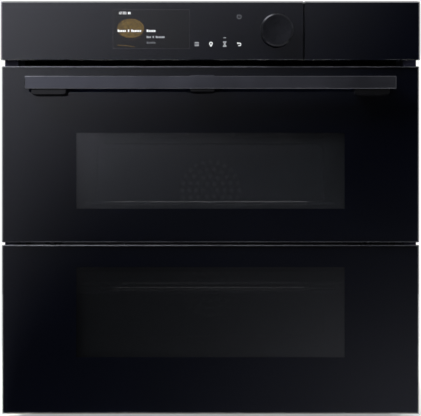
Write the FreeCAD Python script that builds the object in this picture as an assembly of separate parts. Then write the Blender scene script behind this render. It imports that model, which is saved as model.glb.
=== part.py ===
"""Built-in wall oven with a door that folds at mid height.

Millimetres, +Z up, the front faces -Y. The origin is the centre of the box around
the whole oven, on the surface that its base rests on.
"""
import FreeCAD, Part
import math
import os
from FreeCAD import Vector

os.makedirs("parts", exist_ok=True)

# ---------------------------------------------------------------- overall sizes
overall_width = 595.0          # control panel glass, left to right
overall_height = 590.0         # base to the top of the control panel
body_depth = 549.0             # behind the cabinet's face, screw heads included
front_thickness = 21.0         # cabinet's face to the glass face
handle_reach = 44.0            # handle's front face ahead of the glass face
flange_overlap = 25.0          # front beyond the body, each side
body_top_drop = 16.0           # top cover below the control panel's top
skid_height = 3.0
sheet = 1.0                    # casing steel
enamel_sheet = 1.2             # cavity steel
glass = 4.0                    # every glass pane
glass_chamfer = 0.8
glass_corner = 1.5
running_clearance = 0.05       # radial, shafts and hinge pins

# ---------------------------------------------------------------- front, bottom to top
door_bottom = 4.0
lower_door_height = 240.0
door_gap = 4.0
vent_gap = 9.0
panel_height = 83.5
door_inset = 1.5               # door glass inside the control panel's edge, each side

# ---------------------------------------------------------------- doors
door_depth = 38.0              # glass face to the inner pane's back
pivot_back = 8.5               # hinge axis behind the glass face
pivot_up = 8.5                 # hinge axis above a door's bottom edge
roll_play = 0.4                # door's rounded heel inside its inner face
stile_half = 269.0             # outer side of a stile's deep part
stile_width = 18.0
stile_wall = 1.5
stile_lip_depth = 17.0         # edge return, behind the glass face
stile_lip_inset = 1.0          # edge return inside the glass edge
rail_fit = 0.1                 # between rails, panes and stiles
rail_height = 22.0
frame_inset = 1.0              # frame ends inside the glass ends
middle_pane_back = 18.0        # middle pane's back behind the glass face
hinge_arm_width = 6.0
hinge_slot_width = 11.0
hinge_pin_radius = 2.5
hinge_eye_radius = 4.0
hinge_arm_play = 0.8           # around the arms, in slots and windows
flap_arm_drop = 60.0           # flap arm runs this far down the lower stile
flap_arm_thickness = 5.2

# ---------------------------------------------------------------- handle
handle_length = 520.0
handle_height = 17.8
handle_thickness = 12.0
handle_drop = 25.1             # handle's centre below the upper door's top edge
handle_post_width = 48.0
handle_post_inset = 8.5        # end posts inside the bar's ends
handle_centre_post = 35.0
post_height = 15.0             # of what the bar hides
end_post_drop = 7.0            # below the bar
centre_post_drop = 3.0         # below the bar
lever_length = 37.0
lever_depth = 6.0
lever_proud = 1.4
lever_height = 9.0
lever_travel = 1.2
lever_x = -11.5                # lever and centre post off the middle
lever_play = 0.3
latch_x = 215.0
latch_radius = 3.0
latch_back = 24.0              # latch bolts behind the glass face
latch_length = 26.0
latch_drop = 5.0               # bolt's reach into the lower door

# ---------------------------------------------------------------- cavity
plate_recess = 23.0            # cavity front plate behind the cabinet's face
side_space = 47.5              # cavity wall to the outside of the body
rear_space = 94.0              # cavity's inner back to the back of the body
cavity_floor = 62.0
cavity_roof_drop = 65.0        # cavity roof below the upper door's top edge
cavity_corner = 18.0
mouth_corner = 18.0
insulation = 25.0
insulation_play = 0.5
heater_space = 10.0            # under the cavity floor
gasket_inset = 5.0
gasket_width = 8.0
gasket_gap = 0.3               # gasket to the closed door

# ---------------------------------------------------------------- shelves
runner_wire = 2.0              # radius
runner_post_wire = 2.3         # radius
runner_stand_off = 7.0         # posts' centre to the cavity wall
runner_front_gap = 38.0        # runners behind the front plate
runner_pair_gap = 16.0         # support wire to the anti-tilt wire
lower_levels = (88.0, 130.0, 172.0)
divider_level = 240.0
upper_levels = (298.0, 340.0, 382.0)
shelf_play = 0.6
shelf_lift = 0.3               # shelves clear of the wires under them
shelf_front_gap = 16.0         # shelves behind the front plate
divider_thickness = 12.0
tray_depth = 22.0
tray_border = 14.0
insert_width = 366.0
insert_border = 22.0
insert_height = 306.0
rack_rod = 3.0                 # radius of a shelf's outer wire
rack_wire = 1.5                # radius of a shelf's cross wires
rack_pitch = 24.0
insert_rod = 2.2
insert_wire = 1.2
insert_pitch = 15.0

# ---------------------------------------------------------------- rear of the cavity
baffle_depth = 48.0
baffle_side = 40.0             # baffle to the cavity wall, each side
baffle_end = 26.0              # baffle to the floor and to the roof
fan_radius = 58.0
fan_hub_radius = 9.0
fan_blades = 14
fan_thickness = 24.0
fan_shaft_radius = 4.0
fan_offset = 78.0              # each fan from the cavity's mid height
ring_heater_radius = 70.0
heater_tube = 3.2              # radius
ring_heater_pin = 2.8          # radius
grill_drop = 20.0              # grill element below the roof
grill_runs = 6
grill_margin = 45.0
motor_radius = 30.0
motor_length = 42.0

# ---------------------------------------------------------------- blower and air duct
blower_x = -50.0
blower_y = 110.0
blower_radius = 78.0
blower_height = 40.0
blower_wall = 1.5
impeller_radius = 56.0
impeller_hub = 12.0
impeller_blades = 18
duct_front_half = 225.0
duct_rear_half = 60.0
duct_height = 26.0
grille_half = 265.5            # clear of the side rails' inner lips
grille_lift = 2.5              # grille above the upper door's top edge
grille_bars = 41

# ---------------------------------------------------------------- control panel
seam_x = 132.6                 # between the control panel and the water drawer
seam_gap = 1.2
panel_wall = 2.0
housing_lift = 1.0             # housing above the glass's lower edge
panel_edge = 3.0               # housing inside the glass edge
dial_x = 94.0
dial_radius = 23.4
dial_height = 13.0
dial_gap = 2.0                 # dial to the glass
dial_chamfer = 2.2
dial_travel = 1.2
dial_shaft_radius = 3.0
plunger_radius = 5.0
encoder_size = 16.0
encoder_depth = 12.0
display_x = -84.2
display_z = 2.6                # display's centre above the panel's middle
display_width = 101.0
display_height = 56.0
display_bezel = 3.0
display_depth = 8.0

# ---------------------------------------------------------------- water drawer
drawer_side = 30.0             # drawer's tray inside the drawer's front glass
drawer_depth = 250.0
drawer_wall = 2.0
drawer_front = 12.0            # thickness of the carrier's front plate
seam_tongue = 6.0              # housing's reach behind the drawer's front
tongue_play = 0.5              # between that tongue and the drawer's front
drawer_height = 54.0
drawer_lift = 8.0              # drawer's tray above the panel's lower edge
drawer_play = 1.5
tank_play = 1.0
tank_wall = 2.0
tank_cap_radius = 14.0

# ---------------------------------------------------------------- fixing to the cabinet
cabinet_screw_radius = 2.5
cabinet_screw_edge = 8.5       # hole centre inside the side rail's edge
cabinet_screw_low = 95.0
cabinet_screw_high = 435.0
rail_sheet = 1.5
rail_inset = 4.0               # side rails inside the control panel's edge
rail_flange = 19.0
rail_lip = 10.0
case_screw_radius = 1.9
case_screw_head = 3.8
case_screw_head_height = 2.0

# ---------------------------------------------------------------- derived places
total_depth = body_depth + front_thickness + handle_reach
glass_y = -total_depth / 2 + handle_reach
face_y = glass_y + front_thickness
plate_y = face_y + plate_recess
back_y = total_depth / 2 - case_screw_head_height
door_back_y = glass_y + door_depth
half_width = overall_width / 2
half_body = half_width - flange_overlap
body_top = overall_height - body_top_drop
lower_top = door_bottom + lower_door_height
upper_bottom = lower_top + door_gap
panel_bottom = overall_height - panel_height
upper_top = panel_bottom - vent_gap
panel_middle = (panel_bottom + overall_height) / 2
half_door = half_width - door_inset
pivot_y = glass_y + pivot_back
door_pivot_z = door_bottom + pivot_up
flap_pivot_z = upper_bottom + pivot_up
heel_radius = door_depth - pivot_back - roll_play
half_cavity = half_body - side_space
cavity_roof = upper_top - cavity_roof_drop
cavity_back = back_y - rear_space
cavity_middle = (cavity_floor + cavity_roof) / 2
plate_back = plate_y + enamel_sheet
arm_x = stile_half - stile_width / 2
handle_z = upper_top - handle_drop
fan_centres = (cavity_middle + fan_offset, cavity_middle - fan_offset)
baffle_y = cavity_back - baffle_depth
runner_post_x = half_cavity - runner_stand_off
runner_x = runner_post_x - runner_post_wire - runner_wire + 0.4
shelf_half = runner_post_x - runner_post_wire - shelf_play
shelf_front = plate_y + shelf_front_gap
shelf_back = baffle_y - shelf_play
drawer_left = seam_x + seam_gap / 2
drawer_tray_left = drawer_left + drawer_side
drawer_tray_right = half_width - flange_overlap - drawer_side / 2
drawer_bottom = panel_bottom + drawer_lift
drawer_y = glass_y + glass
grille_bottom = upper_top + grille_lift
housing_bottom = panel_bottom + housing_lift
duct_bottom = housing_bottom - duct_height
insulation_top = cavity_roof + enamel_sheet + insulation_play + insulation
blower_floor = duct_bottom + 1.0
eps = 0.01


# ---------------------------------------------------------------- shape helpers
def box(x0, y0, z0, x1, y1, z1):
    return Part.makeBox(x1 - x0, y1 - y0, z1 - z0, Vector(x0, y0, z0))


def rod_x(x0, x1, y, z, radius):
    return Part.makeCylinder(radius, x1 - x0, Vector(x0, y, z), Vector(1, 0, 0))


def rod_y(x, y0, y1, z, radius):
    return Part.makeCylinder(radius, y1 - y0, Vector(x, y0, z), Vector(0, 1, 0))


def rod_z(x, y, z0, z1, radius):
    return Part.makeCylinder(radius, z1 - z0, Vector(x, y, z0), Vector(0, 0, 1))


def union(shapes):
    whole = shapes[0]
    if len(shapes) > 1:
        whole = whole.fuse(shapes[1:])
    return whole.removeSplitter()


def less(shape, cutters):
    return shape.cut(Part.makeCompound(cutters))


def mirrored(shape):
    return shape.mirror(Vector(0, 0, 0), Vector(1, 0, 0))


def both_sides(shape):
    return Part.makeCompound([mirrored(shape), shape])


def edges_along(shape, axis, test=None):
    """Straight edges that run along one axis (0, 1 or 2) and pass the test."""
    found = []
    for edge in shape.Edges:
        if len(edge.Vertexes) != 2:
            continue
        a, b = edge.Vertexes[0].Point, edge.Vertexes[1].Point
        off = [abs(a[k] - b[k]) for k in range(3)]
        if off[axis] > eps and sum(off) - off[axis] < eps:
            if test is None or test((a + b) * 0.5):
                found.append(edge)
    return found


def rounded(shape, axis, radius, test=None):
    return shape.makeFillet(radius, edges_along(shape, axis, test))


def face_edges(shape, axis, place):
    """Edges that lie in the plane where one coordinate has this value."""
    return [e for e in shape.Edges
            if all(abs(v.Point[axis] - place) < eps for v in e.Vertexes)
            and abs(e.CenterOfMass[axis] - place) < eps]


def rounded_tube(half, z0, z1, y0, y1, corner):
    """A block along Y whose section is a rounded rectangle."""
    return rounded(box(-half, y0, z0, half, y1, z1), 1, corner)


def prism_z(points, z0, z1):
    """A solid between two Z planes from a closed outline of (x, y) points."""
    wire = Part.makePolygon([Vector(x, y, z0) for x, y in points + points[:1]])
    return Part.Face(wire).extrude(Vector(0, 0, z1 - z0))


def pressed(panel, low, high, axis, far_end, corner):
    """Presses a rounded pocket into sheet steel. low and high bound the pocket's own
    steel, with the sheet; far_end is 0 if the pocket's floor is at low, 1 if at high."""
    bump = rounded(box(*low, *high), axis, corner)
    inner_low = [v + sheet for v in low]
    inner_high = [v - sheet for v in high]
    if far_end == 0:
        inner_high[axis] = high[axis] + sheet
    else:
        inner_low[axis] = low[axis] - sheet
    hollow = rounded(box(*inner_low, *inner_high), axis, corner - sheet)
    return panel.fuse(bump).cut(hollow).removeSplitter()


def pipe(points, bend, radius):
    """A round bar along straight runs joined by tangent arcs of one bend radius."""
    edges, at = [], points[0]
    for before, corner, after in zip(points, points[1:], points[2:]):
        into = (corner - before).normalize()
        out = (after - corner).normalize()
        turn = into.getAngle(out)
        cut = bend * math.tan(turn / 2)
        start, end = corner - into * cut, corner + out * cut
        inward = (out - into).normalize()
        middle = corner + inward * (bend / math.cos(turn / 2) - bend)
        if (start - at).Length > eps:
            edges.append(Part.LineSegment(at, start).toShape())
        edges.append(Part.Arc(start, middle, end).toShape())
        at = end
    edges.append(Part.LineSegment(at, points[-1]).toShape())
    first = (points[1] - points[0]).normalize()
    section = Part.Wire(Part.makeCircle(radius, points[0], first))
    return Part.Wire(edges).makePipeShell([section], True, False)


def ring_of(blade, count, centre, axis):
    """Copies of a shape, evenly turned round an axis."""
    found = []
    for k in range(count):
        copy = blade.copy()
        copy.rotate(centre, axis, 360.0 * k / count)
        found.append(copy)
    return found


# ---------------------------------------------------------------- casing
def base_tray():
    half = half_body - sheet
    front, back = plate_back, back_y - sheet
    flange = 14.0
    floor = box(-half, front, skid_height, half, back, skid_height + sheet)
    sides = [box(s * half - (s > 0) * sheet, front, skid_height,
                 s * half + (s < 0) * sheet, back, skid_height + flange) for s in (-1, 1)]
    tray = union([floor] + sides)
    skid_x, skid_half, margin = 170.0, 18.0, 35.0
    for s in (-1, 1):
        low = (s * skid_x - skid_half, front + margin, 0.0)
        high = (s * skid_x + skid_half, back - margin, skid_height + sheet)
        tray = pressed(tray, low, high, 2, 0, 8.0)
    return tray


def side_panel():
    """The right one; the left one is its mirror image."""
    x0, x1 = half_body - sheet, half_body
    front_lip, rear_lip, lip_low = 8.0, 14.0, 22.0
    back = back_y - sheet
    skin = box(x0, plate_back, skid_height, x1, back, body_top)
    lips = [box(x1 - front_lip, plate_back, lip_low, x1, plate_back + sheet, body_top - rear_lip),
            box(x1 - rear_lip, back - sheet, lip_low, x1, back, body_top - rear_lip)]
    panel = union([skin] + lips)
    panel = pressed(panel, (x0 - 3.0, plate_back + 60.0, 70.0),
                    (x1, back - 60.0, body_top - 150.0), 0, 0, 20.0)
    slots = [rod_y(x, back - 2 * sheet, back + sheet, z, case_screw_radius)
             for x, z in case_screw_places()]
    for k in range(10):
        y = back - 70.0 - k * 14.0
        slot = box(x0 - 1.0, y - 2.5, body_top - 105.0, x1 + 1.0, y + 2.5, body_top - 60.0)
        slots.append(rounded(slot, 0, 2.4))
    return less(panel, slots)


def case_screw_places():
    """(x, z) of the rear panel's screws."""
    edge = half_body - 7.0
    heights = (skid_height + 40.0, (skid_height + body_top) / 2, body_top - 30.0)
    return [(s * edge, z) for s in (-1, 1) for z in heights]


def rear_panel():
    y0, y1 = back_y - sheet, back_y
    panel = box(-half_body, y0, skid_height, half_body, y1, body_top)
    panel = pressed(panel, (-180.0, y0 - 4.0, 70.0), (180.0, y1, 400.0), 1, 0, 24.0)
    slots = []
    for column in (-110.0, 10.0, 130.0):
        for k in range(7):
            z = body_top - 45.0 - k * 12.0
            slot = box(column - 45.0, y0 - 1.0, z - 2.2, column + 45.0, y1 + 1.0, z + 2.2)
            slots.append(rounded(slot, 1, 2.1))
    low, high = terminal_box()
    slots.append(box(low.x + 4.0, y0 - 1.0, low.z + 4.0, high.x - 4.0, y1 + 1.0, high.z - 4.0))
    for x, z in case_screw_places():
        slots.append(rod_y(x, y0 - 1.0, y1 + 1.0, z, case_screw_radius + 0.1))
    return less(panel, slots)


def top_cover():
    half = half_body - sheet
    z0, z1 = body_top - sheet, body_top
    cover = box(-half, plate_back, z0, half, back_y - sheet, z1)
    low = (-half + 40.0, plate_back + 200.0, z0 - 4.0)
    high = (drawer_tray_left - 20.0, back_y - 130.0, z1)
    cover = pressed(cover, low, high, 2, 0, 20.0)
    slots = []
    for row in range(9):
        y = back_y - 50.0 - row * 8.0
        for column in range(-3, 4):
            x = column * 60.0
            slot = box(x - 22.0, y - 1.8, z0 - 1.0, x + 22.0, y + 1.8, z1 + 1.0)
            slots.append(rounded(slot, 2, 1.7))
    return less(cover, slots)


def side_rail():
    """The right one: a Z section whose flange covers the cabinet's edge."""
    outer = half_width - rail_inset
    web = outer - rail_flange + rail_sheet
    lip_end = web - rail_lip
    points = [(outer, face_y - rail_sheet), (outer, face_y), (web, face_y), (web, plate_y),
              (lip_end, plate_y), (lip_end, plate_y - rail_sheet),
              (web - rail_sheet, plate_y - rail_sheet), (web - rail_sheet, face_y - rail_sheet)]
    rail = prism_z(points, door_bottom, overall_height - rail_inset)
    x = outer - cabinet_screw_edge
    holes = [rod_y(x, face_y - 2 * rail_sheet, face_y + rail_sheet, z, cabinet_screw_radius)
             for z in (cabinet_screw_low, cabinet_screw_high)]
    return less(rail, holes)


def side_rails():
    return both_sides(side_rail())


def case_screws():
    screws = []
    for x, z in case_screw_places():
        end = back_y + case_screw_head_height
        head = rod_y(x, back_y, end, z, case_screw_head)
        head = head.makeFillet(0.9, face_edges(head, 1, end))
        shank = rod_y(x, back_y - 9.0, back_y + eps, z, case_screw_radius)
        screws.append(union([head, shank]))
    return Part.makeCompound(screws)


# ---------------------------------------------------------------- cavity
def hinge_window(x0, x1):
    """Room for a hinge arm between two X planes, through the cavity front plate."""
    low = door_pivot_z - hinge_eye_radius - hinge_arm_play
    high = door_pivot_z + hinge_eye_radius + 14.0
    return box(x0, plate_y - 1.0, low, x1, plate_back + 1.0, high)


def cavity_front_plate():
    plate = box(-half_body, plate_y, skid_height + sheet, half_body, plate_back, body_top - sheet)
    mouth = rounded_tube(half_cavity, cavity_floor, cavity_roof,
                         plate_y - 1.0, plate_back + 1.0, mouth_corner)
    arm_half = hinge_arm_width / 2 + hinge_arm_play
    windows = [hinge_window(s * arm_x - arm_half, s * arm_x + arm_half) for s in (-1, 1)]
    air = box(-duct_front_half, plate_y - 1.0, duct_bottom,
              duct_front_half, plate_back + 1.0, duct_bottom + duct_height)
    drawer = box(drawer_tray_left - drawer_play, plate_y - 1.0, drawer_bottom - drawer_play,
                 drawer_tray_right + drawer_play, plate_back + 1.0,
                 drawer_bottom + drawer_height + drawer_play)
    wires = box(-half_body + 60.0, plate_y - 1.0, panel_middle - 12.0,
                -half_body + 130.0, plate_back + 1.0, panel_middle + 12.0)
    return less(plate, [mouth, air, drawer, wires] + windows)


def lamp_window(inset, x0, x1):
    """Room for a lamp's glass through the right side wall; inset shrinks it."""
    z = (upper_levels[1] + runner_pair_gap + upper_levels[2]) / 2
    half_y, half_z = 27.0 - inset, 11.0 - inset
    y = 70.0
    shape = box(x0, y - half_y, z - half_z, x1, y + half_y, z + half_z)
    return rounded(shape, 0, 6.0 - inset)


def cavity_wrap():
    outer = rounded_tube(half_cavity + enamel_sheet, cavity_floor - enamel_sheet,
                         cavity_roof + enamel_sheet, plate_back, cavity_back,
                         cavity_corner + enamel_sheet)
    inner = rounded_tube(half_cavity, cavity_floor, cavity_roof,
                         plate_back - 1.0, cavity_back + 1.0, cavity_corner)
    lamp = lamp_window(0.0, half_cavity - 1.0, half_cavity + 2.0)
    return less(outer, [inner, lamp, mirrored(lamp)])


def grill_line():
    """Corners of the grill element, from one terminal to the other."""
    z = cavity_roof - grill_drop
    front, back = plate_back + grill_margin, baffle_y - grill_margin / 2
    span = 2 * (half_cavity - grill_margin)
    xs = [-span / 2 + span * k / (grill_runs - 1) for k in range(grill_runs)]
    points = []
    for k, x in enumerate(xs):
        ends = (back, front) if k % 2 == 0 else (front, back)
        if k == 0:
            ends = (cavity_back + 16.0, front)
        if k == grill_runs - 1:
            ends = (front, cavity_back + 16.0)
        points += [Vector(x, ends[0], z), Vector(x, ends[1], z)]
    return points


def grill_heater():
    return pipe(grill_line(), 20.0, heater_tube)


def ring_heater_pins(z):
    return [(s * 14.0, z - math.sqrt(ring_heater_radius ** 2 - 14.0 ** 2)) for s in (-1, 1)]


def ring_heaters():
    y = cavity_back - 16.0
    rings = []
    for z in fan_centres:
        ring = Part.makeTorus(ring_heater_radius, heater_tube, Vector(0, y, z), Vector(0, 1, 0))
        pins = [rod_y(x, y, cavity_back + 16.0, pin_z, ring_heater_pin)
                for x, pin_z in ring_heater_pins(z)]
        rings.append(union([ring] + pins))
    return Part.makeCompound(rings)


def cavity_back_wall():
    wall = rounded_tube(half_cavity + enamel_sheet, cavity_floor - enamel_sheet,
                        cavity_roof + enamel_sheet, cavity_back,
                        cavity_back + enamel_sheet, cavity_corner + enamel_sheet)
    y0, y1 = cavity_back - 1.0, cavity_back + 2 * enamel_sheet
    holes = [rod_y(0, y0, y1, z, fan_shaft_radius + 3.0) for z in fan_centres]
    for z in fan_centres:
        holes += [rod_y(x, y0, y1, pin_z, ring_heater_pin) for x, pin_z in ring_heater_pins(z)]
    ends = grill_line()[0], grill_line()[-1]
    holes += [rod_y(p.x, y0, y1, p.z, heater_tube) for p in ends]
    return less(wall, holes)


def bottom_heater():
    z = cavity_floor - enamel_sheet - heater_tube
    half_x, front, back = half_cavity - 60.0, plate_back + 70.0, cavity_back - 60.0
    points = [Vector(-half_x, back, z), Vector(-half_x, front, z), Vector(half_x, front, z),
              Vector(half_x, back, z), Vector(60.0, back, z), Vector(60.0, front + 80.0, z),
              Vector(-60.0, front + 80.0, z), Vector(-60.0, back + 20.0, z)]
    return pipe(points, 25.0, heater_tube)


def cavity_insulation():
    skin = enamel_sheet + insulation_play
    low = cavity_floor - skin - heater_space
    outer = rounded_tube(half_cavity + skin + insulation, low - insulation + 5.0,
                         cavity_roof + skin + insulation, plate_back + 1.0,
                         cavity_back + skin + insulation, cavity_corner + insulation)
    hollow = rounded_tube(half_cavity + skin, low, cavity_roof + skin,
                          plate_back, cavity_back + skin, cavity_corner)
    cuts = [hollow]
    y0, y1 = cavity_back, cavity_back + 2 * insulation
    cuts += [rod_y(0, y0, y1, z, fan_shaft_radius + 8.0) for z in fan_centres]
    for z in fan_centres:
        cuts += [rod_y(x, y0, y0 + 20.0, pin_z, heater_tube + 1.0)
                 for x, pin_z in ring_heater_pins(z)]
    ends = grill_line()[0], grill_line()[-1]
    cuts += [rod_y(p.x, y0, y0 + 20.0, p.z, heater_tube + 1.0) for p in ends]
    lamp = lamp_window(-1.0, half_cavity, half_cavity + 20.0)
    cuts += [lamp, mirrored(lamp)]
    return less(outer, cuts)


def door_gasket():
    """Heat-resistant bead round the cavity's mouth."""
    front = door_back_y + gasket_gap
    inner, outer = gasket_inset, gasket_inset + gasket_width
    bead = rounded_tube(half_cavity + outer, cavity_floor - outer, cavity_roof + outer,
                        front, plate_y, mouth_corner + outer)
    hole = rounded_tube(half_cavity + inner, cavity_floor - inner, cavity_roof + inner,
                        front - 1.0, plate_y + 1.0, mouth_corner + inner)
    bead = bead.cut(hole)
    return bead.makeFillet(2.2, face_edges(bead, 1, front))


def lamp_lenses():
    """Flat glass covers of the two cavity lamps, each let into a side wall."""
    lens = lamp_window(0.4, half_cavity - 2.0, half_cavity + 12.0)
    lens = lens.makeFillet(1.5, face_edges(lens, 0, half_cavity - 2.0))
    return both_sides(lens)


def rear_baffle():
    """Pan over the two fans, with round intakes and slotted outlets."""
    half = half_cavity - baffle_side
    z0, z1 = cavity_floor + baffle_end, cavity_roof - baffle_end - 4.0
    back = cavity_back
    pan = rounded_tube(half, z0, z1, baffle_y, back, 14.0)
    pan = pan.makeFillet(5.0, face_edges(pan, 1, baffle_y))
    hollow = rounded_tube(half - enamel_sheet, z0 + enamel_sheet, z1 - enamel_sheet,
                          baffle_y + enamel_sheet, back + 1.0, 14.0 - enamel_sheet)
    hollow = hollow.makeFillet(5.0 - enamel_sheet, face_edges(hollow, 1, baffle_y + enamel_sheet))
    cuts = []
    for fan_z in fan_centres:
        for ring, count in ((1, 6), (2, 12), (3, 18), (4, 24)):
            radius = ring * 11.5
            for k in range(count):
                angle = 2 * math.pi * k / count
                cuts.append(rod_y(radius * math.cos(angle), baffle_y - 1.0, baffle_y + 8.0,
                                  fan_z + radius * math.sin(angle), 3.6))
        for s in (-1, 1):
            for k in range(7):
                z = fan_z - 48.0 + 16.0 * k
                x0 = s * (half - 32.0)
                slot = box(x0 - 22.0, baffle_y - 1.0, z - 3.0, x0 + 22.0, baffle_y + 8.0, z + 3.0)
                cuts.append(rounded(slot, 1, 2.9))
    return less(pan.cut(hollow), cuts)


# ---------------------------------------------------------------- shelves
def shelf_runner():
    """The right one: pairs of wires on two posts."""
    front = plate_y + runner_front_gap
    back = baffle_y - 26.0
    levels = lower_levels + (divider_level,) + upper_levels
    wires = []
    for level in levels:
        heights = (level - shelf_lift - runner_wire, level + runner_pair_gap + runner_wire)
        wires += [rod_y(runner_x, front - 12.0, back + 12.0, z, runner_wire) for z in heights]
    low, high = cavity_floor + 8.0, cavity_roof - 14.0
    posts = [rod_z(runner_post_x, y, low, high, runner_post_wire) for y in (front, back)]
    studs = [rod_x(runner_post_x, half_cavity, y, z, runner_post_wire - 0.3)
             for y in (front, back) for z in (low + 12.0, high - 12.0)]
    return union(posts + wires + studs)


def shelf_runners():
    return both_sides(shelf_runner())


def divider():
    """Hollow insulated plate that splits the cavity in two."""
    z0, z1 = divider_level, divider_level + divider_thickness
    body = box(-shelf_half, shelf_front - 8.0, z0, shelf_half, shelf_back, z1)
    body = rounded(body, 2, 12.0)
    lip = box(-half_cavity + 4.0, plate_y + 2.0, z0 + 1.0, half_cavity - 4.0,
              shelf_front - 8.0 + eps, z1 - 1.0)
    grip = rounded(box(-40.0, plate_y + 1.0, z0 + 3.0, 40.0, plate_y + 10.0, z1 - 3.0), 2, 2.0)
    return union([body, lip]).cut(grip)


def baking_tray():
    level = upper_levels[0]
    rim = box(-shelf_half, shelf_front, level, shelf_half, shelf_back - 8.0, level + 1.0)
    rim = rounded(rim, 2, 14.0)
    half = shelf_half - tray_border
    pan_front, pan_back = shelf_front + tray_border, shelf_back - 8.0 - tray_border
    pan = box(-half, pan_front, level - tray_depth, half, pan_back, level + 1.0)
    pan = rounded(pan, 2, 22.0)
    pan = pan.makeFillet(6.0, face_edges(pan, 2, level - tray_depth))
    well = box(-half + 1.0, pan_front + 1.0, level - tray_depth + 1.0,
               half - 1.0, pan_back - 1.0, level + 2.0)
    well = rounded(well, 2, 21.0)
    well = well.makeFillet(5.0, face_edges(well, 2, level - tray_depth + 1.0))
    bead = 1.6
    edge = [Vector(0, shelf_front + bead, level + 1.0 + bead * 0.4),
            Vector(shelf_half - bead, shelf_front + bead, level + 1.0 + bead * 0.4),
            Vector(shelf_half - bead, shelf_back - 8.0 - bead, level + 1.0 + bead * 0.4),
            Vector(0, shelf_back - 8.0 - bead, level + 1.0 + bead * 0.4)]
    half_bead = pipe(edge, 12.0, bead)
    return union([rim, pan, half_bead, mirrored(half_bead)]).cut(well)


def wire_shelf(half, y0, y1, z, rod, wire, pitch, corner):
    """Outer wire round cross wires that run front to back."""
    right = pipe([Vector(0, y0 + rod, z), Vector(half - rod, y0 + rod, z),
                  Vector(half - rod, y1 - rod, z), Vector(0, y1 - rod, z)], corner, rod)
    count = int((half - corner) / pitch)
    wires = [rod_y(k * pitch, y0 + rod, y1 - rod, z + rod / 4, wire)
             for k in range(-count, count + 1)]
    brace = rod_x(-half + rod, half - rod, (y0 + y1) / 2, z + rod / 4 - 1.1 * wire, wire)
    return [right, mirrored(right)] + wires + [brace]


def wire_rack():
    z = lower_levels[2] + rack_rod
    return union(wire_shelf(shelf_half, shelf_front, shelf_back - 8.0, z,
                            rack_rod, rack_wire, rack_pitch, 16.0))


def tray_insert():
    """Narrow wire rack that stands in the baking tray."""
    z = insert_height - insert_rod
    half = insert_width / 2
    y0, y1 = shelf_front + insert_border, shelf_back - 8.0 - insert_border
    floor = upper_levels[0] - tray_depth + 1.0
    feet = [rod_z(s * (half - 3 * insert_pitch), y, floor, z, insert_wire)
            for s in (-1, 1) for y in (y0 + insert_rod, y1 - insert_rod)]
    return union(wire_shelf(half, y0, y1, z, insert_rod, insert_wire, insert_pitch, 10.0) + feet)


# ---------------------------------------------------------------- fans and motors
def fan(z):
    """Radial wheel on its shaft, which turns in the motor."""
    y0 = baffle_y + 8.0
    back = y0 + fan_thickness
    centre, along = Vector(0, 0, z), Vector(0, 1, 0)
    disc = rod_y(0, back, back + 1.5, z, fan_radius)
    hub = rod_y(0, y0 + 4.0, back + 8.0, z, fan_hub_radius)
    shaft_end = cavity_back + enamel_sheet + insulation + motor_length
    shaft = rod_y(0, back, shaft_end, z, fan_shaft_radius)
    blade = box(fan_radius - 24.0, y0, z - 0.6, fan_radius - 2.0, back + eps, z + 0.6)
    blade.rotate(Vector(fan_radius - 2.0, 0, z), along, 32.0)
    return union([disc, hub, shaft] + ring_of(blade, fan_blades, centre, along))


def motor(shape_at, along, length, bore):
    """Can motor with a mounting flange and a bore through it."""
    can = Part.makeCylinder(motor_radius, length, shape_at, along)
    flange = Part.makeCylinder(motor_radius + 8.0, 2.0, shape_at, along)
    cap = Part.makeCylinder(12.0, 6.0, shape_at + along * length, along)
    hole = Part.makeCylinder(bore, 4 * length, shape_at - along * length, along)
    return union([can, flange, cap]).cut(hole)


def fan_motors():
    start = cavity_back + enamel_sheet + insulation_play + insulation
    bore = fan_shaft_radius + running_clearance
    motors = [motor(Vector(0, start, z), Vector(0, 1, 0), motor_length - 8.0, bore)
              for z in fan_centres]
    top = blower_floor + blower_height + 2.5
    motors.append(motor(Vector(blower_x, blower_y, top), Vector(0, 0, 1), 34.0, bore))
    return Part.makeCompound(motors)


def cooling_impeller():
    """Squirrel-cage wheel on a vertical shaft."""
    z0 = blower_floor + 5.0
    z1 = blower_floor + blower_height - 6.0
    centre, along = Vector(blower_x, blower_y, 0), Vector(0, 0, 1)
    disc = rod_z(blower_x, blower_y, z0, z0 + 1.5, impeller_radius)
    hub = rod_z(blower_x, blower_y, z0, z0 + 14.0, impeller_hub)
    shaft = rod_z(blower_x, blower_y, z0, z1 + 30.0, fan_shaft_radius)
    rim = rod_z(blower_x, blower_y, z1 - 2.0, z1, impeller_radius)
    rim = rim.cut(rod_z(blower_x, blower_y, z1 - 3.0, z1 + 1.0, impeller_radius - 8.0))
    blade = box(blower_x + impeller_radius - 8.0, blower_y - 0.6, z0,
                blower_x + impeller_radius - 0.5, blower_y + 0.6, z1)
    blade.rotate(Vector(blower_x + impeller_radius - 4.0, blower_y, 0), along, 25.0)
    return union([disc, hub, shaft, rim] + ring_of(blade, impeller_blades, centre, along))


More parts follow.
